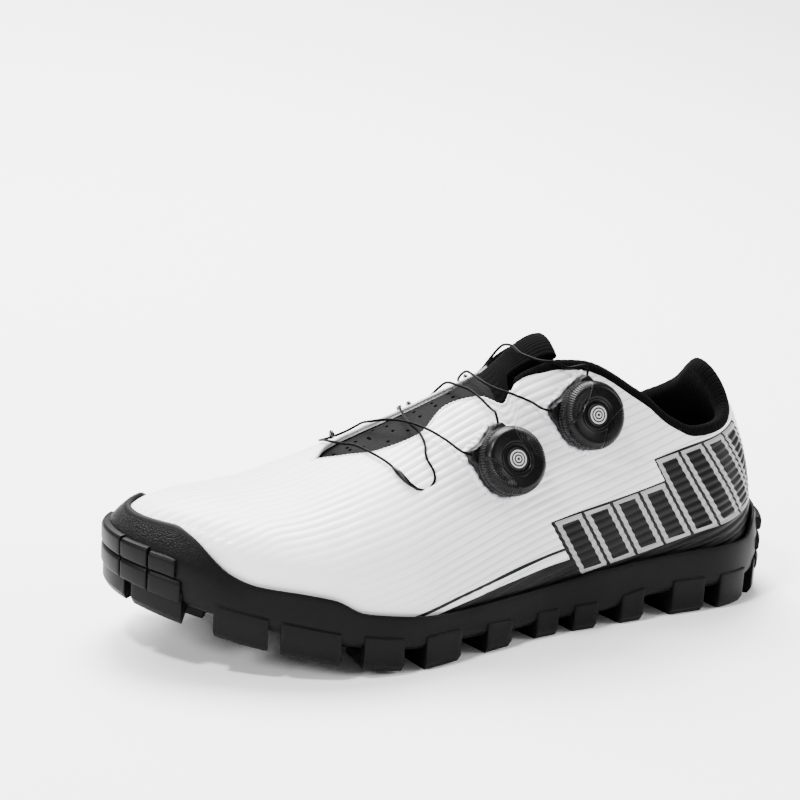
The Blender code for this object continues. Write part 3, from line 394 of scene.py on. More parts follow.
def outline(t):
    """Plan position of the outer edge of the sole."""
    s = station(t)
    share = np.where(is_lateral(t), read(OUTLINE, "lateral", s), -read(OUTLINE, "medial", s))
    ends = rounded(s / HEEL_ROUND, HEEL_POWER) * rounded((1 - s) / TOE_ROUND, TOE_POWER)
    return LENGTH * (s - 0.5), SIDE_Y + BALL_WIDTH * read(OUTLINE, "centre", s) + breadth(s) * share * ends


def edge_plan(t, inset=0.0):
    """Plan position at a distance inside the outer edge of the sole."""
    t = np.asarray(t, float)
    x, y = outline(t)
    back, ahead = outline(t - SLOPE_STEP), outline(t + SLOPE_STEP)
    dx, dy = ahead[0] - back[0], ahead[1] - back[1]
    run = np.hypot(dx, dy)
    return x + inset * dy / run, y - inset * dx / run


def rocker(s):
    """Height of the tread surface above the floor."""
    return TOE_SPRING * read(PROFILE, "rocker", s)


def base(s):
    """Height of the underside between the lugs."""
    return LUG_HEIGHT * read(PROFILE, "base", s) + rocker(s)


def bed(s):
    """Height of the floor inside the sole."""
    return BED_HEIGHT * read(PROFILE, "bed", s) + rocker(s)


def rim(t):
    """Height of the top edge of the sole's side."""
    return RIM_HEIGHT * two_sided(PROFILE, "lateral_rim", "medial_rim", t)


def cup_wall(s):
    """Thickness of the sole's side, which grows into the toe bumper."""
    share = np.clip((s - BUMPER_START) / (BUMPER_FULL - BUMPER_START), 0, 1)
    return CUP_WALL + (TOE_CUP_WALL - CUP_WALL) * share


def skin_heights(t, inset=0.0):
    """Foot, widest and ridge heights of the upper's section, and the power that rounds it."""
    s = station(t)
    spine = np.clip(s, HEEL_CENTRE, TOE_CENTRE)
    waist = INSTEP_HEIGHT * read(UPPER, "waist", s)
    ridge = INSTEP_HEIGHT * read(UPPER, "ridge", spine) - inset
    return bed(s) + FIT, waist, ridge, read(UPPER, "power", s)


def skin(t, turn, inset=0.0):
    """Point at a distance inside the upper's outer surface."""
    t, turn = np.broadcast_arrays(np.asarray(t, float), np.asarray(turn, float))
    s = station(t)
    x, y = edge_plan(t, cup_wall(s) + FIT + inset)
    spine = np.clip(s, HEEL_CENTRE, TOE_CENTRE)
    centre_x = LENGTH * (spine - 0.5)
    centre_y = SIDE_Y + BALL_WIDTH * read(UPPER, "offset", spine)
    foot, waist, ridge, power = skin_heights(t, inset)
    angle = np.clip(turn, 0, 1) * np.pi / 2
    across = np.cos(angle)**(2 / power)
    climb = np.sin(angle)**(2 / power)
    z = np.where(turn < 0, waist + turn * (waist - foot), waist + (ridge - waist) * climb)
    return np.stack([centre_x + (x - centre_x) * across, centre_y + (y - centre_y) * across, z], -1)


def skin_at_height(t, z, inset=0.0):
    """Point at a height on the surface inside the upper's outer surface."""
    foot, waist, ridge, power = skin_heights(t, inset)
    share = np.clip((z - waist) / (ridge - waist), 0, 1)
    up = np.arcsin(share**(power / 2)) * 2 / np.pi
    down = (z - waist) / (waist - foot)
    return skin(t, np.where(z > waist, up, down), inset)


def skin_frame(t, turn, inset=0.0):
    """Point on the surface, its outward direction and the direction along it towards the toe."""
    point = Vector(skin(t, turn, inset))
    sign = 1 if t > 0 else -1
    along = Vector(skin(t + sign * SLOPE_STEP, turn, inset)) - Vector(skin(t - sign * SLOPE_STEP, turn, inset))
    up = Vector(skin(t, turn + SLOPE_STEP, inset)) - Vector(skin(t, turn - SLOPE_STEP, inset))
    normal = (along.cross(up) if t < 0 else up.cross(along)).normalized()
    return point, normal, along.normalized()


def skin_normals(t, turn):
    """Outward directions of the upper's surface at arrays of places and turns."""
    step = 1e-3
    low, high = np.clip(turn - step, -1, 1), np.clip(turn + step, -1, 1)
    up = skin(t, high) - skin(t, low)
    along = skin(t + step, turn) - skin(t - step, turn)
    normal = np.cross(up, along)
    length = np.linalg.norm(normal, axis=-1, keepdims=True)
    flat = length[..., 0] < 1e-11
    normal = normal / np.maximum(length, 1e-11)
    normal[flat] = (0, 0, 1)
    return normal


def top_turn(t):
    """Turn of the upper's top edge."""
    return two_sided(EDGE, "lateral", "medial", t)


def turn_rate(t, turn):
    """Length of surface for one whole turn, measured just below a turn."""
    step = 0.02
    return np.linalg.norm(skin(t, turn) - skin(t, turn - step), axis=-1) / step


def depth_turn(t, depth):
    """Turn at a distance down the wall from the upper's top edge."""
    top = top_turn(t)
    return top - depth / turn_rate(t, top)


def tongue_turn(s, t):
    """Turn of the tongue's edge: tucked under the upper at the throat, between the cuff's ends above it."""
    top = top_turn(t)
    rate = turn_rate(t, np.minimum(top, 0.98))
    tucked = top - TONGUE_TUCK / rate
    free = top + (UPPER_WALL + CUFF_PAD + 4 * FIT) / rate
    share = np.clip((s - TONGUE_NECK) / (TONGUE_SHOULDER - TONGUE_NECK), 0, 1)
    return np.minimum(free + (tucked - free) * share, 0.97)


def dial_frame(dial):
    """Matrix of a dial: origin on the upper, Z out along its axis, X towards the toe."""
    point, normal, along = skin_frame(dial["t"], dial["turn"])
    side = normal.cross(along).normalized()
    along = side.cross(normal).normalized()
    matrix = Matrix((along, side, normal)).transposed().to_4x4()
    matrix.translation = point
    return matrix


def base_radius(dial, angle):
    """Radius of a dial's base, swollen where the two wires leave it."""
    swell = 0.0
    for exit_angle in dial["exits"]:
        apart = (np.degrees(angle) - exit_angle + 180) % 360 - 180
        swell = np.maximum(swell, np.exp(-(apart / 16)**2))
    return DIAL_WIDTH / 2 + 0.0006 + 0.0022 * swell


def exit_points(dial, index):
    """The two points where a wire leaves a dial, from inside its base outward."""
    matrix = dial_frame(dial)
    angle = math.radians(dial["exits"][index])
    points = []
    for beyond, height in ((-0.0030, 0.0024), (0.0035, 0.0028)):
        radius = base_radius(dial, angle) + beyond
        points.append(matrix @ Vector((radius * math.cos(angle), radius * math.sin(angle), height)))
    return points


def smooth_route(points, step_length):
    """Points at even distances along a smooth curve through a route."""
    points = [Vector(point) for point in points]
    dense = []
    for i in range(len(points) - 1):
        p0 = points[max(i - 1, 0)]
        p1, p2 = points[i], points[i + 1]
        p3 = points[min(i + 2, len(points) - 1)]
        for step in range(12):
            u = step / 12
            dense.append(0.5 * ((2 * p1) + (p2 - p0) * u + (2 * p0 - 5 * p1 + 4 * p2 - p3) * u**2
                                + (3 * p1 - p0 - 3 * p2 + p3) * u**3))
    dense.append(points[-1])
    lengths = np.concatenate([[0], np.cumsum([(b - a).length for a, b in zip(dense[:-1], dense[1:])])])
    array = np.array([tuple(point) for point in dense])
    even = np.linspace(0, lengths[-1], 1 + round(lengths[-1] / step_length))
    return np.stack([np.interp(even, lengths, array[:, k]) for k in range(3)], -1)


def grid_faces(count, width, wrap_count=False, wrap_width=False, start=0):
    """Quads between the neighbours of a grid of count by width vertices."""
    i = np.arange(count if wrap_count else count - 1)
    j = np.arange(width if wrap_width else width - 1)
    i, j = np.meshgrid(i, j, indexing="ij")
    a, b = i * width + j, (i + 1) % count * width + j
    c, d = (i + 1) % count * width + (j + 1) % width, i * width + (j + 1) % width
    return (np.stack([a, b, c, d], -1).reshape(-1, 4) + start).tolist()


def piece(name, points, faces, materials, attributes=None, sharp=40, face_materials=None, weld=1e-6):
    """Mesh that rides on the shoe, welded, facing out and shaded smooth up to an angle."""
    mesh = bpy.data.meshes.new(name)
    mesh.from_pydata(np.asarray(points, float).reshape(-1, 3).tolist(), [], faces)
    for look in materials:
        mesh.materials.append(look)
    if face_materials is not None:
        mesh.polygons.foreach_set("material_index", np.asarray(face_materials, np.int32))
    for key, values in (attributes or {}).items():
        layer = mesh.attributes.new(key, "FLOAT", "POINT")
        layer.data.foreach_set("value", np.asarray(values, np.float32).ravel())
    bm = bmesh.new()
    bm.from_mesh(mesh)
    bmesh.ops.remove_doubles(bm, verts=bm.verts, dist=weld)
    bmesh.ops.dissolve_degenerate(bm, dist=weld, edges=bm.edges)
    bmesh.ops.recalc_face_normals(bm, faces=bm.faces)
    bm.to_mesh(mesh)
    bm.free()
    mesh.shade_smooth()
    mesh.set_sharp_from_angle(angle=math.radians(sharp))
    made = bpy.data.objects.new(name, mesh)
    bpy.context.scene.collection.objects.link(made)
    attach(made, "root")
    return made


def loft(name, sections, materials, attributes=None, sharp=40):
    """Closed body through closed sections, with flat ends."""
    sections = np.asarray(sections, float)
    count, width = sections.shape[:2]
    faces = grid_faces(count, width, wrap_width=True)
    faces.append(list(range(width))[::-1])
    faces.append([(count - 1) * width + i for i in range(width)])
    return piece(name, sections, faces, materials, attributes, sharp)


def ring_curve(corners, count):
    """Closed smooth curve through corners, as count points at even distances."""
    corners = np.asarray(corners, float)
    size = len(corners)
    dense = []
    for i in range(size):
        p0, p1, p2, p3 = (corners[(i + k) % size] for k in (-1, 0, 1, 2))
        for u in np.linspace(0, 1, 12, endpoint=False):
            dense.append(0.5 * (2 * p1 + (p2 - p0) * u + (2 * p0 - 5 * p1 + 4 * p2 - p3) * u**2
                                + (3 * p1 - p0 - 3 * p2 + p3) * u**3))
    dense.append(dense[0])
    dense = np.array(dense)
    lengths = np.concatenate([[0], np.cumsum(np.linalg.norm(np.diff(dense, axis=0), axis=1))])
    even = np.linspace(0, lengths[-1], count, endpoint=False)
    return np.stack([np.interp(even, lengths, dense[:, k]) for k in range(dense.shape[1])], -1)


def tube(name, path, radii, materials, sides=12):
    """Closed round bar along a path, of a radius at each point."""
    path = np.asarray(path, float)
    radii = np.broadcast_to(radii, len(path))
    ahead = np.gradient(path, axis=0)
    ahead /= np.linalg.norm(ahead, axis=1, keepdims=True)
    side = np.cross(ahead[0], (0.3, 0.2, 0.93))
    sections = []
    for point, direction, radius in zip(path, ahead, radii):
        side = side - direction * (side @ direction)
        side /= np.linalg.norm(side)
        other = np.cross(direction, side)
        angles = np.linspace(0, 2 * np.pi, sides, endpoint=False)
        sections.append(point + radius * (np.cos(angles)[:, None] * side + np.sin(angles)[:, None] * other))
    return loft(name, sections, materials)


class Look:
    """A Principled material and short ways to add its nodes."""

    def __init__(self, name, colour, roughness, metallic=0.0, **settings):
        self.material = bpy.data.materials.new(name)
        self.material.use_nodes = True
        self.tree = self.material.node_tree
        self.shader = self.tree.nodes["Principled BSDF"]
        self.set(self.shader, "Base Color", (*colour, 1))
        self.set(self.shader, "Roughness", roughness)
        self.set(self.shader, "Metallic", metallic)
        for key, value in settings.items():
            self.set(self.shader, key.replace("_", " "), value)

    def set(self, node, key, value):
        """Link a socket, or give it a plain value."""
        socket = node.inputs[key]
        if isinstance(value, bpy.types.NodeSocket):
            self.tree.links.new(value, socket)
        else:
            socket.default_value = value

    def node(self, kind, *values, output=0, **settings):
        """New node with its first inputs and its settings; returns one output."""
        made = self.tree.nodes.new("ShaderNode" + kind)
        for key, value in settings.items():
            if key.startswith("input_"):
                self.set(made, key[6:].replace("_", " "), value)
            else:
                setattr(made, key, value)
        for i, value in enumerate(values):
            if value is not None:
                self.set(made, i, value)
        return made.outputs[output]

    def math(self, operation, a, b=0.0, clamp=False):
        """Math node."""
        return self.node("Math", a, b, operation=operation, use_clamp=clamp)

    def attribute(self, name):
        """A number that the mesh carries at each vertex."""
        return self.node("Attribute", attribute_name=name, output=2)

    def below(self, value, limit, soft=0.00012):
        """1 where a value is below a limit, with a narrow soft edge."""
        return self.node("MapRange", value, limit - soft, limit + soft, 1.0, 0.0, clamp=True)

    def mix(self, factor, a, b):
        """Colour between a and b."""
        made = self.tree.nodes.new("ShaderNodeMix")
        made.data_type = "RGBA"
        self.set(made, 0, factor)
        self.set(made, 6, a)
        self.set(made, 7, b)
        return made.outputs[2]

    def noise(self, scale, detail=3.0, roughness=0.5):
        """Noise in the shoe's own metres."""
        where = self.node("TexCoord", output=3)
        return self.node("TexNoise", where, input_Scale=scale, input_Detail=detail, input_Roughness=roughness)

    def cells(self, scale, feature="F1"):
        """Distance to the nearest of scattered points."""
        where = self.node("TexCoord", output=3)
        return self.node("TexVoronoi", where, feature=feature, input_Scale=scale)

    def vary(self, key, value, low, high):
        """Drive a shader number between low and high by a value from 0 to 1."""
        self.set(self.shader, key, self.node("MapRange", value, 0.0, 1.0, low, high, clamp=True))

    def bump(self, height, distance, strength=1.0, normal=None):
        """Bump whose height is in shares of a distance in metres."""
        made = self.tree.nodes.new("ShaderNodeBump")
        self.set(made, "Height", height)
        made.inputs["Distance"].default_value = distance
        self.set(made, "Strength", strength)
        if normal is not None:
            self.set(made, "Normal", normal)
        return made.outputs[0]

    def finish(self, colour=None, normal=None):
        """Connect what was made, and return the material."""
        if colour is not None:
            self.set(self.shader, "Base Color", colour)
        if normal is not None:
            self.set(self.shader, "Normal", normal)
        return self.material


def rgb(value, tint=1.0):
    """Neutral colour, a little bluer where tint is above 1."""
    return (value, value, value * tint, 1)


def bar_distance(look, turns):
    """Nodes for the distance to the nearest slanted bar, negative inside it, with a small jog at each rib."""
    pitch = (BAR_START - BAR_END) / BAR_COUNT
    cosine = 1 / math.hypot(1, BAR_LEAN)
    slant = look.attribute("slant")
    level = look.attribute("level")
    cell = look.math("FRACT", look.math("DIVIDE", look.math("SUBTRACT", slant, BAR_END), pitch))
    off = look.math("MULTIPLY", look.math("ABSOLUTE", look.math("SUBTRACT", cell, 0.5)), pitch * cosine)
    across = look.math("SUBTRACT", off, BAR_FILL * cosine / 2 + BAR_OUTLINE)
    ends = look.math("MAXIMUM", look.math("SUBTRACT", slant, BAR_START), look.math("SUBTRACT", BAR_END, slant))
    tall = look.math("LESS_THAN", slant, BAR_STEP)
    high = look.math("ADD", look.math("MULTIPLY", tall, BAR_TALL - BAR_HIGH), BAR_HIGH)
    upright = look.math("MAXIMUM", look.math("SUBTRACT", level, high), look.math("SUBTRACT", BAR_LOW, level))
    distance = look.math("MAXIMUM", look.math("MAXIMUM", across, ends), upright)
    jog = look.math("MULTIPLY", look.math("SINE", look.math("MULTIPLY", turns, 2 * math.pi)), BAR_JOG)
    return look.math("ADD", distance, jog)


def skin_look():
    """White printed skin: satin coat over fine grain, soft grey painted shade in the rib valleys, dark print with a
    painted highlight along its valleys.
    """
    look = Look("white_skin", (0.80, 0.80, 0.81), 0.40, Specular_IOR_Level=0.09, Coat_Roughness=0.17)
    turns = look.attribute("rib")
    strength = look.attribute("rib_strength")
    wave = look.math("ABSOLUTE", look.math("SINE", look.math("MULTIPLY", turns, math.pi)))
    valley = look.math("POWER", look.math("SUBTRACT", 1.0, wave, clamp=True), 3.0)
    shade = look.math("MULTIPLY", valley, strength)
    cloud = look.noise(90.0, 2.0)
    white = look.mix(cloud, rgb(0.800, 1.012), rgb(0.850, 1.008))
    # Painted shade: the white turns grey in the rib valleys, as far as the ribs are deep
    white = look.mix(look.math("MULTIPLY", shade, 0.75), white, rgb(0.42, 1.02))
    # Dark print, painted a little lighter along the rib valleys as a painted highlight line
    dark = look.mix(look.math("MULTIPLY", valley, 0.8), rgb(0.0045, 1.05), rgb(0.016, 1.04))
    colour = white
    colour = look.mix(look.below(look.attribute("band"), 0.0), colour, dark)
    thin = look.math("ABSOLUTE", look.attribute("line"))
    colour = look.mix(look.below(thin, THIN_LINE), colour, dark)
    # Light grey print of the bar outlines, painted darker in the rib valleys as painted shade
    light = look.mix(look.math("MULTIPLY", valley, 0.6), rgb(0.30, 1.02), rgb(0.16, 1.02))
    bars = bar_distance(look, turns)
    colour = look.mix(look.below(bars, BAR_LINE), colour, dark)
    colour = look.mix(look.below(bars, 0.0), colour, light)
    colour = look.mix(look.below(bars, -BAR_OUTLINE), colour, dark)
    fine = look.noise(2600.0, 2.0)
    look.vary("Roughness", fine, 0.34, 0.46)
    brightness = look.node("RGBToBW", colour)
    look.vary("Coat Weight", look.math("MULTIPLY", brightness, 1.3, clamp=True), 0.0, 0.38)
    normal = look.bump(wave, 0.00012, look.math("MULTIPLY", strength, 0.8))
    normal = look.bump(fine, 0.00004, 0.35, normal)
    return look.finish(colour, normal)


def lining_look():
    """Dark textile inside the upper."""
    look = Look("inner_lining", (0.004, 0.004, 0.004), 0.9, Specular_IOR_Level=0.1)
    weave = look.cells(1400.0)
    return look.finish(look.mix(weave, rgb(0.002), rgb(0.007)), look.bump(weave, 0.0002, 0.7))


def knit_look(name):
    """Black knit: fine ribs along the piece crossed by small stitches, with painted shade in their hollows."""
    look = Look(name, (0.0012, 0.0012, 0.0012), 0.88, Specular_IOR_Level=0.02, Sheen_Weight=0.01, Sheen_Roughness=0.45)
    along = look.attribute("along")
    around = look.attribute("around")
    rib = look.math("ABSOLUTE", look.math("SINE", look.math("MULTIPLY", along, math.pi / 0.0016)))
    stitch = look.math("ABSOLUTE", look.math("SINE", look.math("MULTIPLY", around, math.pi / 0.0009)))
    height = look.math("ADD", look.math("MULTIPLY", rib, 0.7), look.math("MULTIPLY", stitch, 0.3))
    fuzz = look.noise(4200.0, 3.0)
    height = look.math("ADD", height, look.math("MULTIPLY", fuzz, 0.35))
    # Painted shade: lighter on the crests of the ribs and stitches, darker in their hollows; the fuzz adds random tone
    colour = look.mix(look.math("MULTIPLY", height, 0.7, clamp=True), rgb(0.0006, 1.05), rgb(0.0028, 1.05))
    return look.finish(colour, look.bump(height, 0.00035, 0.85))


def rubber_look(name, value=0.0024, roughness=0.46):
    """Moulded black rubber: matt, with fine grain, faint mould marks and dusty patches."""
    look = Look(name, (value, value, value * 1.06), roughness, Specular_IOR_Level=0.07)
    grain = look.noise(3800.0, 3.0, 0.6)
    cloud = look.noise(60.0, 4.0, 0.6)
    colour = look.mix(cloud, rgb(value * 0.75, 1.05), rgb(value * 1.45, 1.05))
    look.vary("Roughness", look.math("ADD", look.math("MULTIPLY", grain, 0.5), look.math("MULTIPLY", cloud, 0.5)),
              roughness - 0.10, roughness + 0.14)
    normal = look.bump(grain, 0.00004, 0.45)
    return look, colour, normal


def sole_look():
    """Rubber of the sole's body, with the pebbled band round the toe."""
    look, colour, normal = rubber_look("sole_rubber")
    pebble = look.cells(1900.0, "SMOOTH_F1")
    normal = look.bump(pebble, 0.0005, look.attribute("pebble"), normal)
    return look.finish(colour, normal)


def plain_rubber(name, value, roughness):
    """Rubber with nothing printed or pebbled on it."""
    look, colour, normal = rubber_look(name, value, roughness)
    return look.finish(colour, normal)


def facing_look():
    """Smooth dark grey synthetic of the tongue's facing."""
    look = Look("facing_grey", (0.006, 0.006, 0.006), 0.55, Specular_IOR_Level=0.02)
    grain = look.noise(2400.0, 3.0, 0.6)
    pores = look.cells(900.0)
    colour = look.mix(look.noise(120.0, 3.0), rgb(0.0035, 1.03), rgb(0.0062, 1.03))
    look.vary("Roughness", grain, 0.42, 0.60)
    return look.finish(colour, look.bump(pores, 0.00010, 0.4, look.bump(grain, 0.00008, 0.5)))


def glossy_look(name, value, roughness):
    """Hard black moulding of the dials and hoops, lightly scuffed."""
    look = Look(name, (value, value, value), roughness, Specular_IOR_Level=0.12)
    scuff = look.noise(700.0, 4.0, 0.65)
    fine = look.noise(5200.0, 2.0)
    look.vary("Roughness", scuff, roughness - 0.07, roughness + 0.14)
    colour = look.mix(scuff, rgb(value * 0.8, 1.03), rgb(value * 1.3, 1.03))
    return look.finish(colour, look.bump(fine, 0.00002, 0.4))


def disc_look():
    """Light disc of a dial with plain concentric rings."""
    look = Look("dial_disc", (0.36, 0.36, 0.36), 0.38, Specular_IOR_Level=0.15)
    radius = look.attribute("radius")
    wave = look.math("SINE", look.math("MULTIPLY", radius, 2 * math.pi / 0.00125))
    rings = look.node("MapRange", wave, -0.15, 0.15, 0.0, 1.0, clamp=True)
    colour = look.mix(rings, rgb(0.36, 1.01), rgb(0.010, 1.03))
    colour = look.mix(look.below(radius, 0.00055), colour, rgb(0.006, 1.03))
    colour = look.mix(look.below(radius, 0.0041), rgb(0.003, 1.03), colour)
    rough = look.noise(900.0, 3.0)
    look.vary("Roughness", rough, 0.30, 0.46)
    return look.finish(colour, look.bump(rings, -0.00008, 0.6))


def wire_look():
    """Black coated steel wire with a fine lay of strands."""
    look = Look("lace_wire", (0.001, 0.001, 0.001), 0.40, Specular_IOR_Level=0.04)
    strands = look.noise(3000.0, 2.0)
    look.vary("Roughness", strands, 0.28, 0.46)
    return look.finish(look.mix(strands, rgb(0.0006), rgb(0.002)), look.bump(strands, 0.00003, 0.6))


def weave_look(name, value, pitch, roughness):
    """Moulded check of a carbon weave: squares that lean each other way."""
    look = Look(name, (value, value, value), roughness, Coat_Weight=0.3, Coat_Roughness=0.25)
    where = look.node("TexCoord", output=3)
    turned = look.node("Mapping", where, input_Rotation=(0, 0, math.radians(40)))
    check = look.node("TexChecker", turned, rgb(1.0), rgb(0.0), 1 / pitch, output=1)
    grain = look.noise(2500.0, 3.0)
    look.vary("Roughness", check, roughness - 0.10, roughness + 0.14)
    colour = look.mix(check, rgb(value * 0.55, 1.04), rgb(value * 1.6, 1.04))
    return look.finish(colour, look.bump(check, 0.00012, 0.5, look.bump(grain, 0.00005, 0.4)))


def steel_look():
    """Brushed steel of the threaded plate."""
    look = Look("plate_steel", (0.30, 0.30, 0.31), 0.36, 1.0)
    where = look.node("TexCoord", output=3)
    stretched = look.node("Mapping", where, input_Scale=(1.0, 24.0, 1.0))
    lines = look.node("TexNoise", stretched, input_Scale=260.0, input_Detail=3.0)
    look.vary("Roughness", lines, 0.28, 0.46)
    return look.finish(look.mix(lines, rgb(0.24), rgb(0.36)), look.bump(lines, 0.00003, 0.5))


def foam_look():
    """Dark footbed foam under a brushed top cloth."""
    look = Look("footbed_cloth", (0.008, 0.008, 0.009), 0.92, Specular_IOR_Level=0.1, Sheen_Weight=0.05)
    cells = look.cells(1100.0)
    nap = look.noise(3000.0, 4.0)
    colour = look.mix(nap, rgb(0.005, 1.05), rgb(0.014, 1.05))
    return look.finish(colour, look.bump(cells, 0.0002, 0.5, look.bump(nap, 0.00012, 0.6)))


def rib_index(t, points, waist_row):
    """How many ribs lie between the floor and each point of the skin, along its own curve."""
    steps = np.linalg.norm(np.diff(points, axis=1), axis=-1)
    arc = np.concatenate([np.zeros((len(t), 1)), np.cumsum(steps, axis=1)], axis=1)
    arc -= arc[:, waist_row:waist_row + 1]
    waist = skin_heights(t)[1]
    level = arc + (waist + RIB_RISE * LENGTH * (station(t) - 0.5))[:, None]
    centre_y = SIDE_Y + BALL_WIDTH * float(read(UPPER, "offset", RIB_TOE))
    centre_z = float(bed(RIB_TOE)) * 0.8
    for sign in (1, -1):
        side = np.where(np.sign(t + 1e-9) == sign)[0]
        middle = side[np.argmin(np.abs(np.abs(t[side]) - float(place(RIB_TOE))))]
        guide = points[middle, waist_row:]
        guide_angle = np.arctan2(guide[:, 2] - centre_z, np.abs(guide[:, 1] - centre_y))
        ahead = np.maximum(points[side, :, 0] - guide[-1, 0], 0)
        height = points[side, :, 2] + RIB_RISE * ahead + RIB_DIVE * ahead**2 - centre_z
        angle = np.arctan2(height, np.abs(points[side, :, 1] - centre_y))
        over = np.interp(angle, guide_angle, level[middle, waist_row:])
        share = smooth(ahead, 0.0, 0.014)
        level[side] = level[side] * (1 - share) + over * share
    return level / RIB_PITCH


def rib_strength(t, turn):
    """How deep the ribs are: full on the quarter, faint on the vamp, nearly gone low on the toe."""
    s = station(t)[:, None]
    strength = 1 - 0.50 * smooth(s, 0.50, 0.68) - 0.12 * smooth(s, 0.70, 0.82)
    low = smooth(turn, 0.10, 0.48)
    strength = strength * (1 - smooth(s, 0.60, 0.80) * (1 - low) * 0.85)
    return strength * (1 - smooth(turn, 0.955, 0.995))


def crease_depth(points):
    """Depth of the soft troughs at each point of the skin."""
    depth = np.zeros(points.shape[:-1])
    for t, turn, along, across, deep, heading in zip(*CREASES.values()):
        centre, normal, ahead = skin_frame(t, turn)
        side = normal.cross(ahead).normalized()
        heading = math.radians(heading)
        first = np.array(ahead * math.cos(heading) + side * math.sin(heading))
        second = np.array(side * math.cos(heading) - ahead * math.sin(heading))
        offset = points - np.array(centre)
        u = offset @ first / (along * 0.0005)
        v = offset @ second / (across * 0.0005)
        away = offset @ np.array(normal)
        depth += deep * 0.001 * np.exp(-u**2 - v**2) * (np.abs(away) < 0.02)
    return depth


def girth(t):
    """Length along the widest line of the upper, which agrees with x on the straight part of the side."""
    fine = np.linspace(-1, 1, 2001)
    points = skin(fine, 0.0)
    arc = np.concatenate([[0.0], np.cumsum(np.linalg.norm(np.diff(points, axis=0), axis=1))])
    match = float(place(0.35))
    return np.interp(t, fine, arc) - float(np.interp(match, fine, arc)) + LENGTH * (0.35 - 0.5)


def print_fields(t, points):
    """Coordinates of the printed bars at each point, and distances to the dark band and the thin line."""
    x, z = points[..., 0], points[..., 2]
    lateral = (t[:, None] > -0.002) & (points[..., 1] > -0.02)
    along = np.broadcast_to(girth(t)[:, None], x.shape)
    level = z + BAR_RISE * (along - BAR_START)
    slant = np.where(lateral, along - BAR_LEAN * (level - BAR_LOW), AWAY)
    band = z - 0.0315 + np.where(x < -0.034, 0.215, 0.15) * (x + 0.034)
    line = z - 0.0368 + 0.19 * (x + 0.0337)
    return {"slant": slant, "level": np.where(lateral, level, AWAY * 4), "band": np.where(lateral, band, AWAY),
            "line": np.where(lateral & (x > -0.036), line, AWAY)}


def upper_skin(look, lining):
    """Upper as one hollow wall, with its ribs, soft creases and print."""
    t = np.linspace(-1, 1, UPPER_COLUMNS + 1)[:-1]
    t = t + TOE_CROWDING * np.sin(np.pi * t) / np.pi
    top = top_turn(t)[:, None]
    foot_rows = 10
    turns = np.concatenate([
        np.broadcast_to(np.linspace(-1, 0, foot_rows + 1)[:-1], (len(t), foot_rows)),
        np.linspace(0, 1, UPPER_ROWS) * top], axis=1)
    places = np.broadcast_to(t[:, None], turns.shape)
    smooth_points = skin(places, turns)
    ribs = rib_index(t, smooth_points, foot_rows)
    strength = rib_strength(t, turns)
    wave = np.sqrt(np.sin(np.pi * ribs)**2 + 0.04) / math.sqrt(1.04)
    edge = smooth(top - turns, 0.0, 0.03 * (top > 0))
    fade = smooth(turns, -0.5, -0.2) * np.where(top < 1, 0.4 + 0.6 * edge, 1.0)
    drop = RIB_DEPTH * strength * fade * (1 - wave) + crease_depth(smooth_points)
    drop *= 1 - smooth(turns, 0.965, 0.998)
    outer = smooth_points - skin_normals(places, turns) * drop[..., None]
    inner_rows = 12
    inner_turns = np.concatenate([
        np.full((len(t), 1), -1.0), np.linspace(0, 1, inner_rows - 1) * top], axis=1)
    inner = skin(np.broadcast_to(t[:, None], inner_turns.shape), inner_turns, UPPER_WALL)
    count, width = turns.shape
    faces = grid_faces(count, width, wrap_count=True)
    outer_faces = len(faces)
    start = count * width
    inner_faces = grid_faces(count, inner_rows, wrap_count=True, start=start)
    faces += [face[::-1] for face in inner_faces]
    for i in range(count):
        j = (i + 1) % count
        faces.append([i * width, j * width, start + j * inner_rows, start + i * inner_rows])
        if top[i] < 1 or top[j] < 1:
            faces.append([i * width + width - 1, j * width + width - 1,
                          start + j * inner_rows + inner_rows - 1, start + i * inner_rows + inner_rows - 1])
    blank = np.zeros(count * inner_rows)
    attributes = {
        "rib": np.concatenate([ribs.ravel(), blank + 0.5]),
        "rib_strength": np.concatenate([(strength * fade).ravel(), blank])}
    for key, values in print_fields(t, smooth_points).items():
        attributes[key] = np.concatenate([values.ravel(), blank + AWAY])
    kinds = [0] * outer_faces + [1] * len(inner_faces) + [0] * (len(faces) - outer_faces - len(inner_faces))
    points = np.concatenate([outer.reshape(-1, 3), inner.reshape(-1, 3)])
    made = piece("upper_skin", points, faces, [look, lining], attributes, 50, kinds, 2e-6)
    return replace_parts(made, "upper")


def between(rings, parts):
    """More rings on smooth curves through the given ones."""
    rings = np.stack(rings, 0)
    made = []
    for i in range(len(rings) - 1):
        p0, p1 = rings[max(i - 1, 0)], rings[i]
        p2, p3 = rings[i + 1], rings[min(i + 2, len(rings) - 1)]
        for u in np.linspace(0, 1, parts, endpoint=False):
            made.append(0.5 * (2 * p1 + (p2 - p0) * u + (2 * p0 - 5 * p1 + 4 * p2 - p3) * u**2
                               + (3 * p1 - p0 - 3 * p2 + p3) * u**3))
    made.append(rings[-1])
    return made


def plan_corners(table, inset=0.0):
    """Corners of a polygon table in metres, each side moved inward by an inset."""
    points = [Vector((x * LENGTH, SIDE_Y + y * BALL_WIDTH)) for x, y in zip(table["x"], table["y"])]
    corners = []
    for i, point in enumerate(points):
        before = (point - points[i - 1]).normalized()
        after = (points[(i + 1) % len(points)] - point).normalized()
        first, second = Vector((before.y, -before.x)), Vector((after.y, -after.x))
        bisector = (first + second).normalized()
        corners.append(point + bisector * (inset / max(bisector.dot(first), 0.2)))
    return [(corner.x, corner.y) for corner in corners]


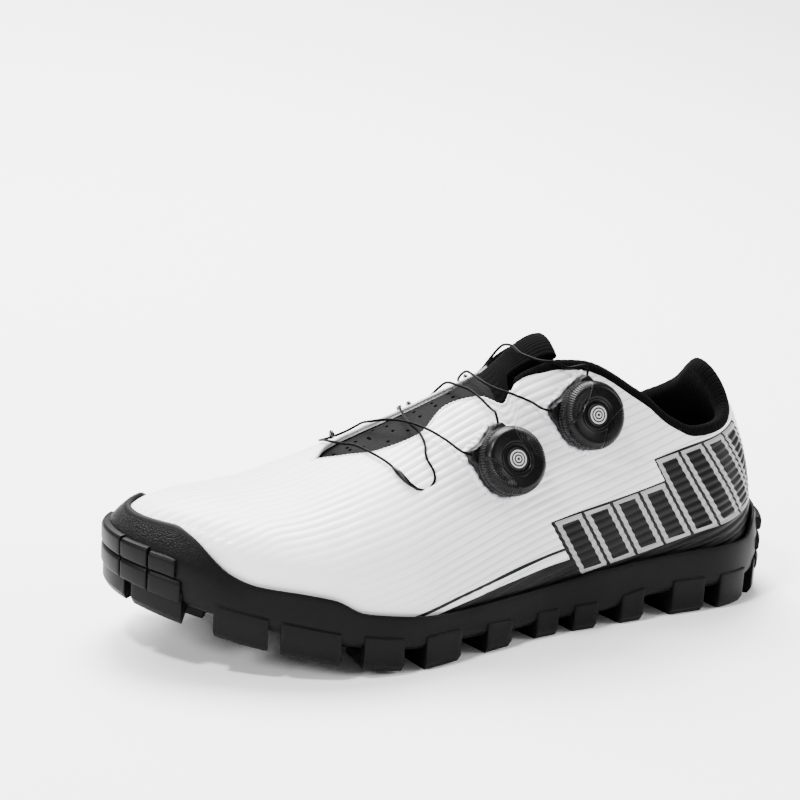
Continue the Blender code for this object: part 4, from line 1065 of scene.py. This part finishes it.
def add_loft(bm, sections):
    """Closed body through closed sections, with flat ends."""
    grid = [[bm.verts.new(point) for point in ring] for ring in sections]
    for a, b in zip(grid[:-1], grid[1:]):
        for j in range(len(a)):
            bm.faces.new((a[j - 1], a[j], b[j], b[j - 1]))
    bm.faces.new(grid[0][::-1])
    bm.faces.new(grid[-1])


def add_prism(bm, corners, low, high):
    """Upright body over corners in plan."""
    add_loft(bm, [[(x, y, low) for x, y in corners], [(x, y, high) for x, y in corners]])


def follow_rocker(bm):
    """Cut a body built over a flat floor at each station and lift it onto the rocker of the sole."""
    for s in ROCKER_STATIONS:
        geometry = bm.verts[:] + bm.edges[:] + bm.faces[:]
        bmesh.ops.bisect_plane(bm, geom=geometry, plane_co=(LENGTH * (s - 0.5), 0, 0), plane_no=(1, 0, 0))
    for vertex in bm.verts:
        vertex.co.z += float(rocker(vertex.co.x / LENGTH + 0.5))


def cut(target, bm, name):
    """Cut a body out of a piece, and apply it."""
    bmesh.ops.recalc_face_normals(bm, faces=bm.faces)
    mesh = bpy.data.meshes.new(name)
    bm.to_mesh(mesh)
    bm.free()
    cutter = bpy.data.objects.new(name, mesh)
    bpy.context.scene.collection.objects.link(cutter)
    modifier = target.modifiers.new("cut", "BOOLEAN")
    modifier.operation = "DIFFERENCE"
    modifier.solver = "EXACT"
    modifier.use_self = True
    modifier.object = cutter
    apply_modifiers(target)
    bpy.data.objects.remove(cutter)


def apply_modifiers(target, sharp=40):
    """Keep a piece's evaluated mesh and drop its modifiers."""
    depsgraph = bpy.context.evaluated_depsgraph_get()
    mesh = bpy.data.meshes.new_from_object(target.evaluated_get(depsgraph), depsgraph=depsgraph)
    target.modifiers.clear()
    target.data = mesh
    mesh.shade_smooth()
    mesh.set_sharp_from_angle(angle=math.radians(sharp))


def nut_corners(grow):
    """Corners of the pocket of the steel plate in plan."""
    half_x = SLOT_LENGTH * 0.62 + grow
    half_y = SLOT_SPACING / 2 + SLOT_WIDTH * 0.72 + grow
    x, y = CLEAT_X * LENGTH, SIDE_Y + CLEAT_Y * BALL_WIDTH
    return [(x - half_x, y - half_y), (x + half_x, y - half_y), (x + half_x, y + half_y), (x - half_x, y + half_y)]


def outsole_body(look):
    """Body of the cup sole with its rounded side, rim, recess and window."""
    count = 300
    t = np.linspace(-1, 1, count + 1)[:-1]
    s = station(t)
    low, top = base(s), rim(t)
    side = top - low

    def edge_ring(inset, z):
        x, y = edge_plan(t, inset)
        return np.stack([x, y, z], -1)

    def wall_ring(row):
        height = skin(t, row * top_turn(t), -CUP_GAP)[..., 2]
        return skin_at_height(t, np.minimum(height, top - RIM_ROUND), -CUP_GAP)

    outside = between([
        edge_ring(0.0030, low),
        edge_ring(0.0008, low + 0.0022),
        edge_ring(0.0, low + 0.30 * side),
        edge_ring(0.0005 + 0.2 * (cup_wall(s) - CUP_WALL), low + 0.68 * side),
        skin_at_height(t, top - RIM_ROUND, -(CUP_GAP + RIM_WALL)),
        skin_at_height(t, top, -(CUP_GAP + 0.5 * RIM_WALL)),
        skin_at_height(t, top - RIM_ROUND, -CUP_GAP)], 5)
    inside = [wall_ring(0.24), wall_ring(0.10), wall_ring(0.0),
              skin(t, -1, -FIT) - np.stack([0 * s, 0 * s, 0 * s + FIT], -1)]
    rings = np.stack(outside + inside, 1)
    rings[:, :len(outside), 2] = np.minimum(rings[:, :len(outside), 2], top[:, None])
    width = rings.shape[1]
    faces = grid_faces(count, width, wrap_count=True)
    for row in (0, width - 1):
        for i in range(count // 2):
            corners = [i, i + 1, (count - i - 1) % count, (count - i) % count]
            corners = [k * width + row for k in dict.fromkeys(corners)]
            if len(corners) > 2:
                faces.append(corners)
    share = (rings[..., 2] - low[:, None]) / side[:, None]
    pebble = smooth(s, 0.90, 0.95)[:, None] * smooth(share, 0.66, 0.74) * (1 - smooth(share, 0.93, 0.98))
    attributes = {"pebble": pebble}
    made = piece("outsole_body", rings, faces, [look], attributes, 35)
    bm = bmesh.new()
    step = LUG_HEIGHT * float(read(PROFILE, "base", CLEAT_X + 0.5)) + RECESS_STEP
    add_prism(bm, plan_corners(RECESS, -RECESS_LIP), -0.002, step)
    add_prism(bm, plan_corners(RECESS), step - 0.0005, RECESS_TOP - NUT_PLATE - FIT)
    add_prism(bm, nut_corners(FIT), RECESS_TOP - NUT_PLATE - 2 * FIT, RECESS_TOP)
    follow_rocker(bm)
    add_prism(bm, plan_corners(WINDOW), -0.002, WINDOW_TOP)
    cut(made, bm, "recess_cutter")
    return made


def add_edge_lug(bm, start, end, reach, slant, stations=9):
    """Lug on the edge: a panel on the sole's side, a sole face on the floor and a slanted inner end."""
    middle = (start + end) / 2
    sections = []
    for t in np.linspace(start, end, stations):
        floor = rocker(station(t))
        root = base(station(t))
        profile = (
            (0.0008, floor), (-PROUD, floor + 0.0030), (-PROUD, root + 0.0060), (EMBED, root + 0.0075),
            (0.0040, root + 0.0025), (reach, root + EMBED), (reach - 0.0015, floor))
        ring = []
        for inset, z in profile:
            share = max(inset, 0) / reach
            where = middle + (t - middle) * (1 - 0.35 * share) + slant * share
            x, y = edge_plan(where, inset)
            ring.append((float(x), float(y), float(z)))
        sections.append(ring)
    add_loft(bm, sections)


def add_centre_lug(bm, s, offset, length, width, heading):
    """Bar-shaped lug that tapers from its root to the floor."""
    turn = Matrix.Rotation(math.radians(heading), 3, "Z")
    rings = []
    for share, foot in ((1.0, False), (0.86, True)):
        ring = []
        for along, side in ((-1, -1), (1, -1), (1, 1), (-1, 1)):
            step = turn @ Vector((along * length / 2 * share, side * width / 2 * share, 0))
            x = LENGTH * (s - 0.5) + step.x
            local = x / LENGTH + 0.5
            z = rocker(local) + 0.0008 if foot else base(local) + EMBED
            ring.append((x, SIDE_Y + offset + step.y, float(z)))
        rings.append(ring)
    add_loft(bm, rings)


def add_rail(bm, near, far):
    """Long low bar beside the cleat recess."""
    sections = []
    for s in RAILS["s"]:
        y_low, y_high = (SIDE_Y + BALL_WIDTH * float(read(RAILS, name, s)) for name in (near, far))
        x = LENGTH * (s - 0.5)
        foot = float(base(s)) - RAIL_DEPTH
        root = float(base(s)) + EMBED
        sections.append([(x, y_low, root), (x, y_low + 0.0008, foot), (x, y_high - 0.0008, foot), (x, y_high, root)])
    add_loft(bm, sections)


def bevelled(name, bm, look, width):
    """Piece of closed blocks with rounded edges."""
    bmesh.ops.recalc_face_normals(bm, faces=bm.faces)
    mesh = bpy.data.meshes.new(name)
    bm.to_mesh(mesh)
    bm.free()
    mesh.materials.append(look)
    made = bpy.data.objects.new(name, mesh)
    bpy.context.scene.collection.objects.link(made)
    modifier = made.modifiers.new("round", "BEVEL")
    modifier.width = width
    modifier.segments = 3
    modifier.limit_method = "ANGLE"
    modifier.angle_limit = math.radians(28)
    modifier.harden_normals = False
    apply_modifiers(made, 50)
    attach(made, "root")
    return made


def outsole_lugs(look):
    """All lugs and the two rails beside the cleat recess, with rounded edges."""
    bm = bmesh.new()
    for table, sign in ((LATERAL_LUGS, 1), (MEDIAL_LUGS, -1)):
        for start, end, reach, slant in zip(*table.values()):
            first, last = float(place(start)), float(place(end))
            lean = float(place(start + slant)) - first
            add_edge_lug(bm, sign * first, sign * last, reach * BALL_WIDTH, sign * lean)
    for start, end, reach in zip(*WRAP_LUGS.values()):
        add_edge_lug(bm, start, end, reach * BALL_WIDTH, 0.0, stations=12)
    for s, offset, length, width, heading in zip(*CENTRE_LUGS.values()):
        add_centre_lug(bm, s, offset * BALL_WIDTH, length * LUG_HEIGHT, width * LUG_HEIGHT, heading)
    for near, far in (("outer_low", "outer_high"), ("inner_low", "inner_high")):
        add_rail(bm, near, far)
    return bevelled("outsole_lugs", bm, look, 0.0006)


def bumper_blocks(look):
    """Raised blocks of the toe bumper and the ridges of the heel bumper."""
    bm = bmesh.new()
    for start, end, low, high in zip(*BUMPER_BLOCKS.values()):
        sections = []
        for t in np.linspace(start, end, 12):
            s = station(t)
            bottom, top = float(base(s)), float(rim(t))
            ring = []
            for share, inset in ((low, EMBED + 0.001), (low, -BLOCK_PROUD * 0.7), (low + 0.05, -BLOCK_PROUD),
                                 (high - 0.05, -BLOCK_PROUD), (high, -BLOCK_PROUD * 0.5), (high, EMBED + 0.001)):
                x, y = edge_plan(t, inset)
                ring.append((float(x), float(y), bottom + share * (top - bottom)))
            sections.append(ring)
        add_loft(bm, sections)
    return bevelled("bumper_blocks", bm, look, 0.0004)


def footbed(look):
    """Loose foam footbed with a raised rounded edge."""
    count, rings = 240, []
    t = np.linspace(-1, 1, count + 1)[:-1]
    centre = np.stack([LENGTH * (np.clip(station(t), 0.16, 0.88) - 0.5),
                       SIDE_Y + BALL_WIDTH * read(OUTLINE, "centre", station(t)), 0 * t], -1)
    low = skin(t, -1, UPPER_WALL + FIT)
    for share, lift in ((0.0, 0.0), (0.0, 0.55), (0.008, 0.85), (0.03, 1.0), (0.08, 0.92), (0.2, 0.80), (0.5, 0.76)):
        ring = low + (centre - low) * share
        ring[:, 2] = low[:, 2] + INSOLE * lift
        rings.append(ring)
    rings = np.stack(rings, 1)
    width = rings.shape[1]
    faces = grid_faces(count, width, wrap_count=True)
    for row in (0, width - 1):
        for i in range(count // 2):
            corners = [k * width + row for k in dict.fromkeys([i, i + 1, (count - i - 1) % count, (count - i) % count])]
            if len(corners) > 2:
                faces.append(corners)
    made = piece("footbed", rings, faces, [look], None, 60)
    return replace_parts(made, "insole")


def collar_cuff(look):
    """Padded knit cuff inside the collar, rolled over its edge, with fine upright ribs."""
    inside = UPPER_WALL + 2 * FIT
    profile = ring_curve([
        (BINDING, 0.0), (0.8 * BINDING, -0.0006), (0.0, -0.0008), (-0.7 * CUFF_ROLL, -0.0003), (-CUFF_ROLL, inside), (-0.6 * CUFF_ROLL, inside + 0.6 * CUFF_PAD),
        (0.2 * CUFF_DEPTH, inside + CUFF_PAD), (0.6 * CUFF_DEPTH, inside + CUFF_PAD),
        (CUFF_DEPTH, inside + 0.4 * CUFF_PAD), (CUFF_DEPTH, inside), (0.5 * CUFF_DEPTH, inside), (-FIT, inside), (-FIT, 0.0001)], 52)
    front = float(place(CUFF_FRONT))
    t = np.linspace(-front, front, 420)
    sections = []
    lip = (profile[:, 1] < 0.0002) & (profile[:, 0] > 0)
    for where in t:
        depth = np.where(lip, profile[:, 0] * float(smooth(front - abs(where), 0.0, 0.03)), profile[:, 0])
        sections.append(skin(where, depth_turn(where, depth), profile[:, 1]))
    sections = np.array(sections)
    middle = sections[:, 18]
    along = np.concatenate([[0.0], np.cumsum(np.linalg.norm(np.diff(middle, axis=0), axis=1))])
    hidden = (profile[:, 1] > -0.0001) & (profile[:, 1] < inside + 0.0004) & (profile[:, 0] > -0.2 * CUFF_ROLL)
    ripple = 0.00016 * (1 - np.abs(np.sin(math.pi * along / 0.0032)))[:, None] * (~hidden)[None, :]
    centre = sections.mean(axis=1, keepdims=True)
    inward = centre - sections
    inward /= np.linalg.norm(inward, axis=-1, keepdims=True)
    sections = sections + inward * ripple[..., None]
    around = np.concatenate([[0.0], np.cumsum(np.linalg.norm(np.diff(sections[200], axis=0), axis=1))])
    attributes = {"along": np.broadcast_to(along[:, None], sections.shape[:2]),
                  "around": np.broadcast_to(around[None, :], sections.shape[:2])}
    made = loft("collar_cuff", sections, [look], attributes, 70)
    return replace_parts(made, "collar_lining")


def tongue_piece(facing, knit):
    """Facing that closes the throat from inside, perforated, with a knit top that stands up."""
    stations = np.concatenate([np.linspace(TONGUE_TOP, TONGUE_TOP + 0.006, 5)[:-1],
                               np.linspace(TONGUE_TOP + 0.006, TONGUE_END, 150)])
    half = np.linspace(0, 1, 26)
    sections, ups, acrosses = [], [], []
    for s in stations:
        thick = TONGUE * math.sqrt(max(0.06, 1 - (1 - min(1, (s - TONGUE_TOP) / 0.006))**2))
        ring = []
        for inset, order in ((UPPER_WALL + 2 * FIT + (TONGUE - thick) / 2, 1),
                             (UPPER_WALL + 2 * FIT + (TONGUE + thick) / 2, -1)):
            line = []
            for sign, shares in ((1, half), (-1, half[-2::-1])):
                t = sign * float(place(s))
                edge = float(tongue_turn(s, t))
                line.append(skin(t, edge + (1 - edge) * shares, inset))
            ring.append(np.concatenate(line)[::order])
        sections.append(np.concatenate(ring))
        acrosses.append(np.linspace(0, 0.05, len(sections[-1])))
        ups.append(np.full(len(sections[-1]), s * LENGTH))
    sections = np.array(sections)
    count, width = sections.shape[:2]
    faces = grid_faces(count, width, wrap_width=True)
    kinds = [int(stations[k // width] < TONGUE_SHOULDER + 0.012) for k in range(len(faces))]
    faces += [list(range(width))[::-1], [(count - 1) * width + i for i in range(width)]]
    kinds += [1, 0]
    attributes = {"along": np.array(acrosses), "around": np.array(ups)}
    made = piece("tongue_facing", sections, faces, [facing, knit], attributes, 60, kinds)
    bm = bmesh.new()
    for s, turn in ((0.585, 0.90), (0.615, 0.90), (0.600, 0.96), (0.645, 0.955), (0.660, 0.985), (0.560, 0.955),
                    (0.535, 0.97), (0.510, 0.96), (0.630, 0.99), (0.680, 0.985)):
        for sign in (1, -1):
            point, normal, _ = skin_frame(sign * float(place(s)), turn, UPPER_WALL)
            turned = Vector((0, 0, 1)).rotation_difference(normal).to_matrix().to_4x4()
            bmesh.ops.create_cone(bm, cap_ends=True, segments=16, radius1=0.0008, radius2=0.0008, depth=0.0036,
                                  matrix=Matrix.Translation(point) @ turned)
    cut(made, bm, "perforation_cutter")
    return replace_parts(made, "tongue")


def polar(radii, heights, angles, matrix):
    """Points on rings of radius and height, both of them arrays of angles by rings, in a dial's frame."""
    x = radii * np.cos(angles)[:, None]
    y = radii * np.sin(angles)[:, None]
    local = np.stack([x, y, heights + 0 * x], -1)
    m = np.array(matrix)
    return local @ m[:3, :3].T + m[:3, 3]


def dial_cap(name, node, dial, look, lean):
    """Knob of a dial: knurled side, domed crown with two curved seams, fine flanks and recessed rings."""
    low = DIAL_BASE + FIT
    high = low + DIAL_HEIGHT
    radius = DIAL_WIDTH / 2
    seat = BUTTON_WIDTH / 2 + FIT
    teeth = 80
    angles = np.linspace(0, 2 * np.pi, teeth * 5, endpoint=False)
    crown = np.linspace(seat, 0.97 * radius, 56)
    dome = high - 0.0009 * np.clip((0.78 * radius - crown) / (0.78 * radius - seat), 0, 1)**1.3
    fall = np.clip((crown - 0.78 * radius) / (0.19 * radius), 0, 1)
    dome = dome - 0.0026 * fall**1.9
    r = np.concatenate([[0, seat * 0.5, seat, seat], crown[1:], [0.985 * radius], np.full(12, radius), [0.985 * radius, 0.96 * radius, 0]])
    z = np.concatenate([[high - 0.0022] * 3, [high - 0.0009], dome[1:], [high - 0.0034],
                        np.linspace(high - 0.0042, low + 0.0008, 12), [low + 0.0003, low, low]])
    r = np.broadcast_to(r, (len(angles), len(r))).copy()
    z = np.broadcast_to(z, r.shape).copy()
    a = angles[:, None]
    on_crown = (z > high - 0.0031) & (r > seat + 1e-5)
    x, y = r * np.cos(a - lean), r * np.sin(a - lean)
    reach = 1.55 * radius
    flank = np.zeros(r.shape)
    seam = np.full(r.shape, 1.0)
    for sign in (1, -1):
        away = np.hypot(x - sign * 1.95 * radius, y + sign * 0.55 * radius)
        flank = np.maximum(flank, 1 - smooth(away, reach - 0.0003, reach + 0.0001))
        seam = np.minimum(seam, np.abs(away - reach))
    tooth = 0.5 - 0.5 * np.cos(teeth * a)
    z -= np.where(on_crown, 0.00055 * flank + 0.00045 * np.exp(-(seam / 0.00028)**2), 0)
    z += np.where(on_crown, 0.00034 * flank * tooth * smooth(r, 0.56 * radius, 0.64 * radius), 0)
    for ring in (0.42, 0.50):
        z -= np.where(on_crown, 0.00022 * np.exp(-((r - ring * radius) / 0.00022)**2), 0)
    side = (z < high - 0.0033) & (z > low + 0.0005) & (r > 0.9 * radius)
    r -= np.where(side, 0.00045 * tooth, 0)
    r -= np.where(side & (np.abs(z - low - 0.0022) < 0.0003), 0.0004, 0)
    points = polar(r, z, angles, dial_frame(dial))
    faces = grid_faces(len(angles), r.shape[1], wrap_count=True)
    made = piece(name, points, faces, [look], None, 50)
    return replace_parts(made, node)


def foot_radius(dial, angles):
    """Radius of a dial's foot: within the knob, with a lobed lump where each wire leaves."""
    radius = base_radius(dial, angles)
    swell = np.clip((radius - radius.min()) / (radius.max() - radius.min()), 0, 1)
    return radius - FOOT_SLIM * (1 - swell) - FOOT_LOBE * (0.5 - 0.5 * np.cos(26 * angles)) * swell


def dial_foot(name, node, dial, tree, look):
    """Base of a dial: it follows the skin below, swells at the wires and has small rounded lobes."""
    matrix = dial_frame(dial)
    angles = np.linspace(0, 2 * np.pi, 240, endpoint=False)
    radius = foot_radius(dial, angles)
    down = -(matrix.to_3x3() @ Vector((0, 0, 1)))
    rings = []
    for share, lift in ((0.40, 0.0014), (0.88, 0.0006), (0.985, 0.0004), (1.0, 0.0010)):
        ring = []
        for angle, size in zip(angles, radius * share):
            start = matrix @ Vector((size * math.cos(angle), size * math.sin(angle), 0.03))
            hit = tree.ray_cast(start, down)
            ring.append(tuple(hit[0] - down * lift))
        rings.append(np.array(ring))
    for share, z in ((1.0, DIAL_BASE - 0.0014), (0.985, DIAL_BASE - 0.0005), (0.95, DIAL_BASE)):
        rings.append(polar((radius * share)[:, None], np.full((1, 1), z), angles, matrix)[:, 0])
    rings = np.array(rings)
    made = loft(name, rings, [look], None, 45)
    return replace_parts(made, node)


def dial_trim(name, dial, tree, look):
    """Bumpy cut edge of the white skin round a dial's base."""
    matrix = dial_frame(dial)
    angles = np.linspace(0, 2 * np.pi, 300, endpoint=False)
    lobes = 0.5 + 0.5 * np.cos(34 * angles)
    start_radius = foot_radius(dial, angles) + 0.0001
    down = -(matrix.to_3x3() @ Vector((0, 0, 1)))
    sections = []
    for angle, inner, lobe in zip(angles, start_radius, lobes):
        ring = []
        size = 0.0016 + 0.0010 * lobe
        for out, lift in ((0, -0.0002), (0, 0.0004 + 0.0004 * lobe), (0.35, 0.0006 + 0.0008 * lobe), (0.8, 0.0003 + 0.0004 * lobe), (1.0, -0.0002)):
            spread = inner + size * out
            begin = matrix @ Vector((spread * math.cos(angle), spread * math.sin(angle), 0.03))
            hit = tree.ray_cast(begin, down)
            ring.append(tuple(hit[0] - down * lift))
        sections.append(ring)
    sections = np.array(sections)
    faces = grid_faces(len(angles), 5, wrap_count=True, wrap_width=True)
    return piece(name, sections, faces, [look], None, 60)


def throat_edge(look):
    """Bumpy cut edge of the white skin all along the throat."""
    s = np.linspace(CUFF_FRONT + 0.012, 0.7149, 60)
    t = np.concatenate([place(s), -place(s[::-1])])
    route = skin(t, np.minimum(top_turn(t), 0.999), 0.0005)
    path = smooth_route(route, 0.0005)
    radii = 0.00052 + 0.00026 * np.abs(np.sin(np.arange(len(path)) * math.pi / 3.5))
    return tube("throat_edge", path, radii, [look], 8)


def dial_disc(name, node, dial, look):
    """Light ringed disc in the middle of a dial."""
    seat = DIAL_BASE + FIT + DIAL_HEIGHT - 0.0022 + FIT
    radius = BUTTON_WIDTH / 2
    angles = np.linspace(0, 2 * np.pi, 96, endpoint=False)
    r = np.concatenate([np.linspace(0, 0.93, 30), [0.98, 1.0, 1.0, 0]]) * radius
    z = np.concatenate([0.0019 - 0.0003 * np.linspace(0, 0.93, 30)**2, [0.0014, 0.0010, 0, 0]]) + seat
    z[:30] += 0.00007 * np.sin(2 * math.pi * r[:30] / 0.00125 + math.pi)
    r = np.broadcast_to(r, (len(angles), len(r)))
    points = polar(r, np.broadcast_to(z, r.shape), angles, dial_frame(dial))
    faces = grid_faces(len(angles), r.shape[1], wrap_count=True)
    made = piece(name, points, faces, [look], {"radius": r}, 50)
    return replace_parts(made, node)


def lace(name, node, dial, route, look):
    """Wire that leaves a dial, crosses the throat, runs round the guides and comes back."""
    points = exit_points(dial, 0)
    points += [Vector(skin(t, turn, -lift * 0.001)) for t, turn, lift in route]
    points += exit_points(dial, 1)[::-1]
    made = tube(name, smooth_route(points, 0.0011), LACE_WIDTH / 2, [look])
    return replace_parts(made, node)


def hoop(name, node, where, look):
    """Low hoop that stands on the upper and holds a wire down, thicker at its feet."""
    point, normal, along = skin_frame(*where)
    across = normal.cross(along).normalized()
    points, radii = [], []
    for angle in np.linspace(0, math.pi, 31):
        out = math.sin(angle)**0.8 * HOOP_HEIGHT + FIT
        points.append(point + across * (math.cos(angle) * HOOP_WIDTH / 2) + normal * out)
        radii.append(GUIDE_WIRE / 2 * (1 - 0.10 * math.sin(angle)))
    made = tube(name, [tuple(p) for p in points], np.array(radii), [look], 16)
    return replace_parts(made, node)


def sleeve(name, node, stops, look):
    """Tapered sleeve round the wire where it enters the skin."""
    path = smooth_route([skin(t, turn, -lift * 0.001) for t, turn, lift in stops], 0.0005)
    share = np.linspace(0, 1, len(path))
    radii = 0.0007 + 0.0005 * smooth(share, 0.0, 0.25) - 0.0006 * smooth(share, 0.35, 1.0)
    made = tube(name, path, radii, [look], 16)
    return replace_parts(made, node)


def studio():
    """Pale floor, a white world, and soft light from above and both sides."""
    mesh = bpy.data.meshes.new("floor")
    bm = bmesh.new()
    bmesh.ops.create_grid(bm, x_segments=40, y_segments=40, size=6.0)
    bm.to_mesh(mesh)
    bm.free()
    look = Look("floor_paper", (0.90, 0.90, 0.90), 0.75)
    paper = look.noise(400.0, 2.0)
    mesh.materials.append(look.finish(look.mix(paper, rgb(0.88), rgb(0.91))))
    floor = bpy.data.objects.new("floor", mesh)
    bpy.context.scene.collection.objects.link(floor)
    world = bpy.data.worlds.new("studio")
    world.use_nodes = True
    background = world.node_tree.nodes["Background"]
    background.inputs["Color"].default_value = (1.0, 1.0, 1.0, 1)
    background.inputs["Strength"].default_value = 0.36
    bpy.context.scene.world = world
    lights = (
        ("overhead", (-0.15, -0.60, 1.35), (0.0, 0.0, 0.05), 0.7, 66.0),
        ("toe_side", (1.25, 0.35, 0.85), (0.05, 0.0, 0.06), 0.45, 18.0),
        ("glint", (0.65, 0.13, 1.30), (0.09, 0.02, 0.06), 0.16, 22.0),
        ("heel_side", (-1.15, 0.55, 0.70), (-0.05, 0.0, 0.05), 0.6, 13.0),
        ("sweep", (0.0, -2.2, 1.9), (0.0, -2.4, 0.0), 2.6, 300.0))
    for name, where, target, size, power in lights:
        data = bpy.data.lights.new(name, "AREA")
        data.shape = "SQUARE"
        data.size = size
        data.energy = power
        light = bpy.data.objects.new(name, data)
        light.location = where
        light.rotation_mode = "QUATERNION"
        light.rotation_quaternion = (Vector(target) - Vector(where)).to_track_quat("-Z", "Y")
        bpy.context.scene.collection.objects.link(light)


def camera():
    """Camera that looks at the outer side, from ahead and above, slightly rolled."""
    azimuth, elevation, roll = (math.radians(v) for v in (CAMERA_AZIMUTH, CAMERA_ELEVATION, CAMERA_ROLL))
    back = Vector((math.sin(azimuth) * math.cos(elevation), math.cos(azimuth) * math.cos(elevation),
                   math.sin(elevation)))
    right = Vector((-math.cos(azimuth), math.sin(azimuth), 0))
    up = back.cross(right)
    x_axis = math.cos(roll) * right + math.sin(roll) * up
    y_axis = math.cos(roll) * up - math.sin(roll) * right
    data = bpy.data.cameras.new("camera")
    data.lens = CAMERA_LENS
    data.sensor_width = 36.0
    data.shift_x, data.shift_y = CAMERA_SHIFT
    made = bpy.data.objects.new("camera", data)
    matrix = Matrix((x_axis, y_axis, back)).transposed().to_4x4()
    matrix.translation = Vector(CAMERA_TARGET) + back * CAMERA_DISTANCE
    made.matrix_world = matrix
    bpy.context.scene.collection.objects.link(made)
    bpy.context.scene.camera = made


def dress(node, look):
    """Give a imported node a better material."""
    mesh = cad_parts[node].data
    mesh.materials.clear()
    mesh.materials.append(look)


def main():
    """Build every piece."""
    camera()
    studio()
    black = glossy_look("dial_moulding", 0.0016, 0.26)
    foot_black = glossy_look("dial_foot_moulding", 0.0014, 0.34)
    disc = disc_look()
    wire = wire_look()
    hoops = glossy_look("hoop_moulding", 0.0016, 0.20)
    white_edge = plain_rubber("skin_edge", 0.62, 0.55)
    shell = upper_skin(skin_look(), lining_look())
    outsole_body_made = outsole_body(sole_look())
    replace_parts(outsole_body_made, "outsole")
    outsole_lugs(plain_rubber("lug_rubber", 0.0024, 0.42))
    bumper_blocks(plain_rubber("block_rubber", 0.0026, 0.42))
    footbed(foam_look())
    collar_cuff(knit_look("cuff_knit_black"))
    tongue_piece(facing_look(), knit_look("tongue_knit_black"))
    tree = BVHTree.FromObject(shell, bpy.context.evaluated_depsgraph_get())
    for side, lean in (("front", math.radians(35)), ("rear", math.radians(-20))):
        dial = DIALS[side]
        dial_foot(f"dial_{side}_foot", f"dial_{side}_base", dial, tree, foot_black)
        dial_cap(f"dial_{side}_cap", f"dial_{side}_knob", dial, black, lean)
        dial_disc(f"dial_{side}_disc", f"dial_{side}_button", dial, disc)
        dial_trim(f"dial_{side}_trim", dial, tree, white_edge)
    throat_edge(white_edge)
    lace("wire_front", "lace_front", DIALS["front"], FRONT_ROUTE, wire)
    lace("wire_rear", "lace_rear", DIALS["rear"], REAR_ROUTE, wire)
    for name, where in GUIDES.items():
        if name == "guide_lateral":
            sleeve("guide_lateral_sleeve", name, SLEEVE, hoops)
        else:
            hoop(name + "_hoop", name, where, hoops)
    dress("arch_plate", plain_rubber("arch_nylon_black", 0.010, 0.42))
    dress("cleat_plate", weave_look("cleat_plate_weave", 0.020, 0.0042, 0.40))
    dress("cleat_nut_plate", steel_look())


main()
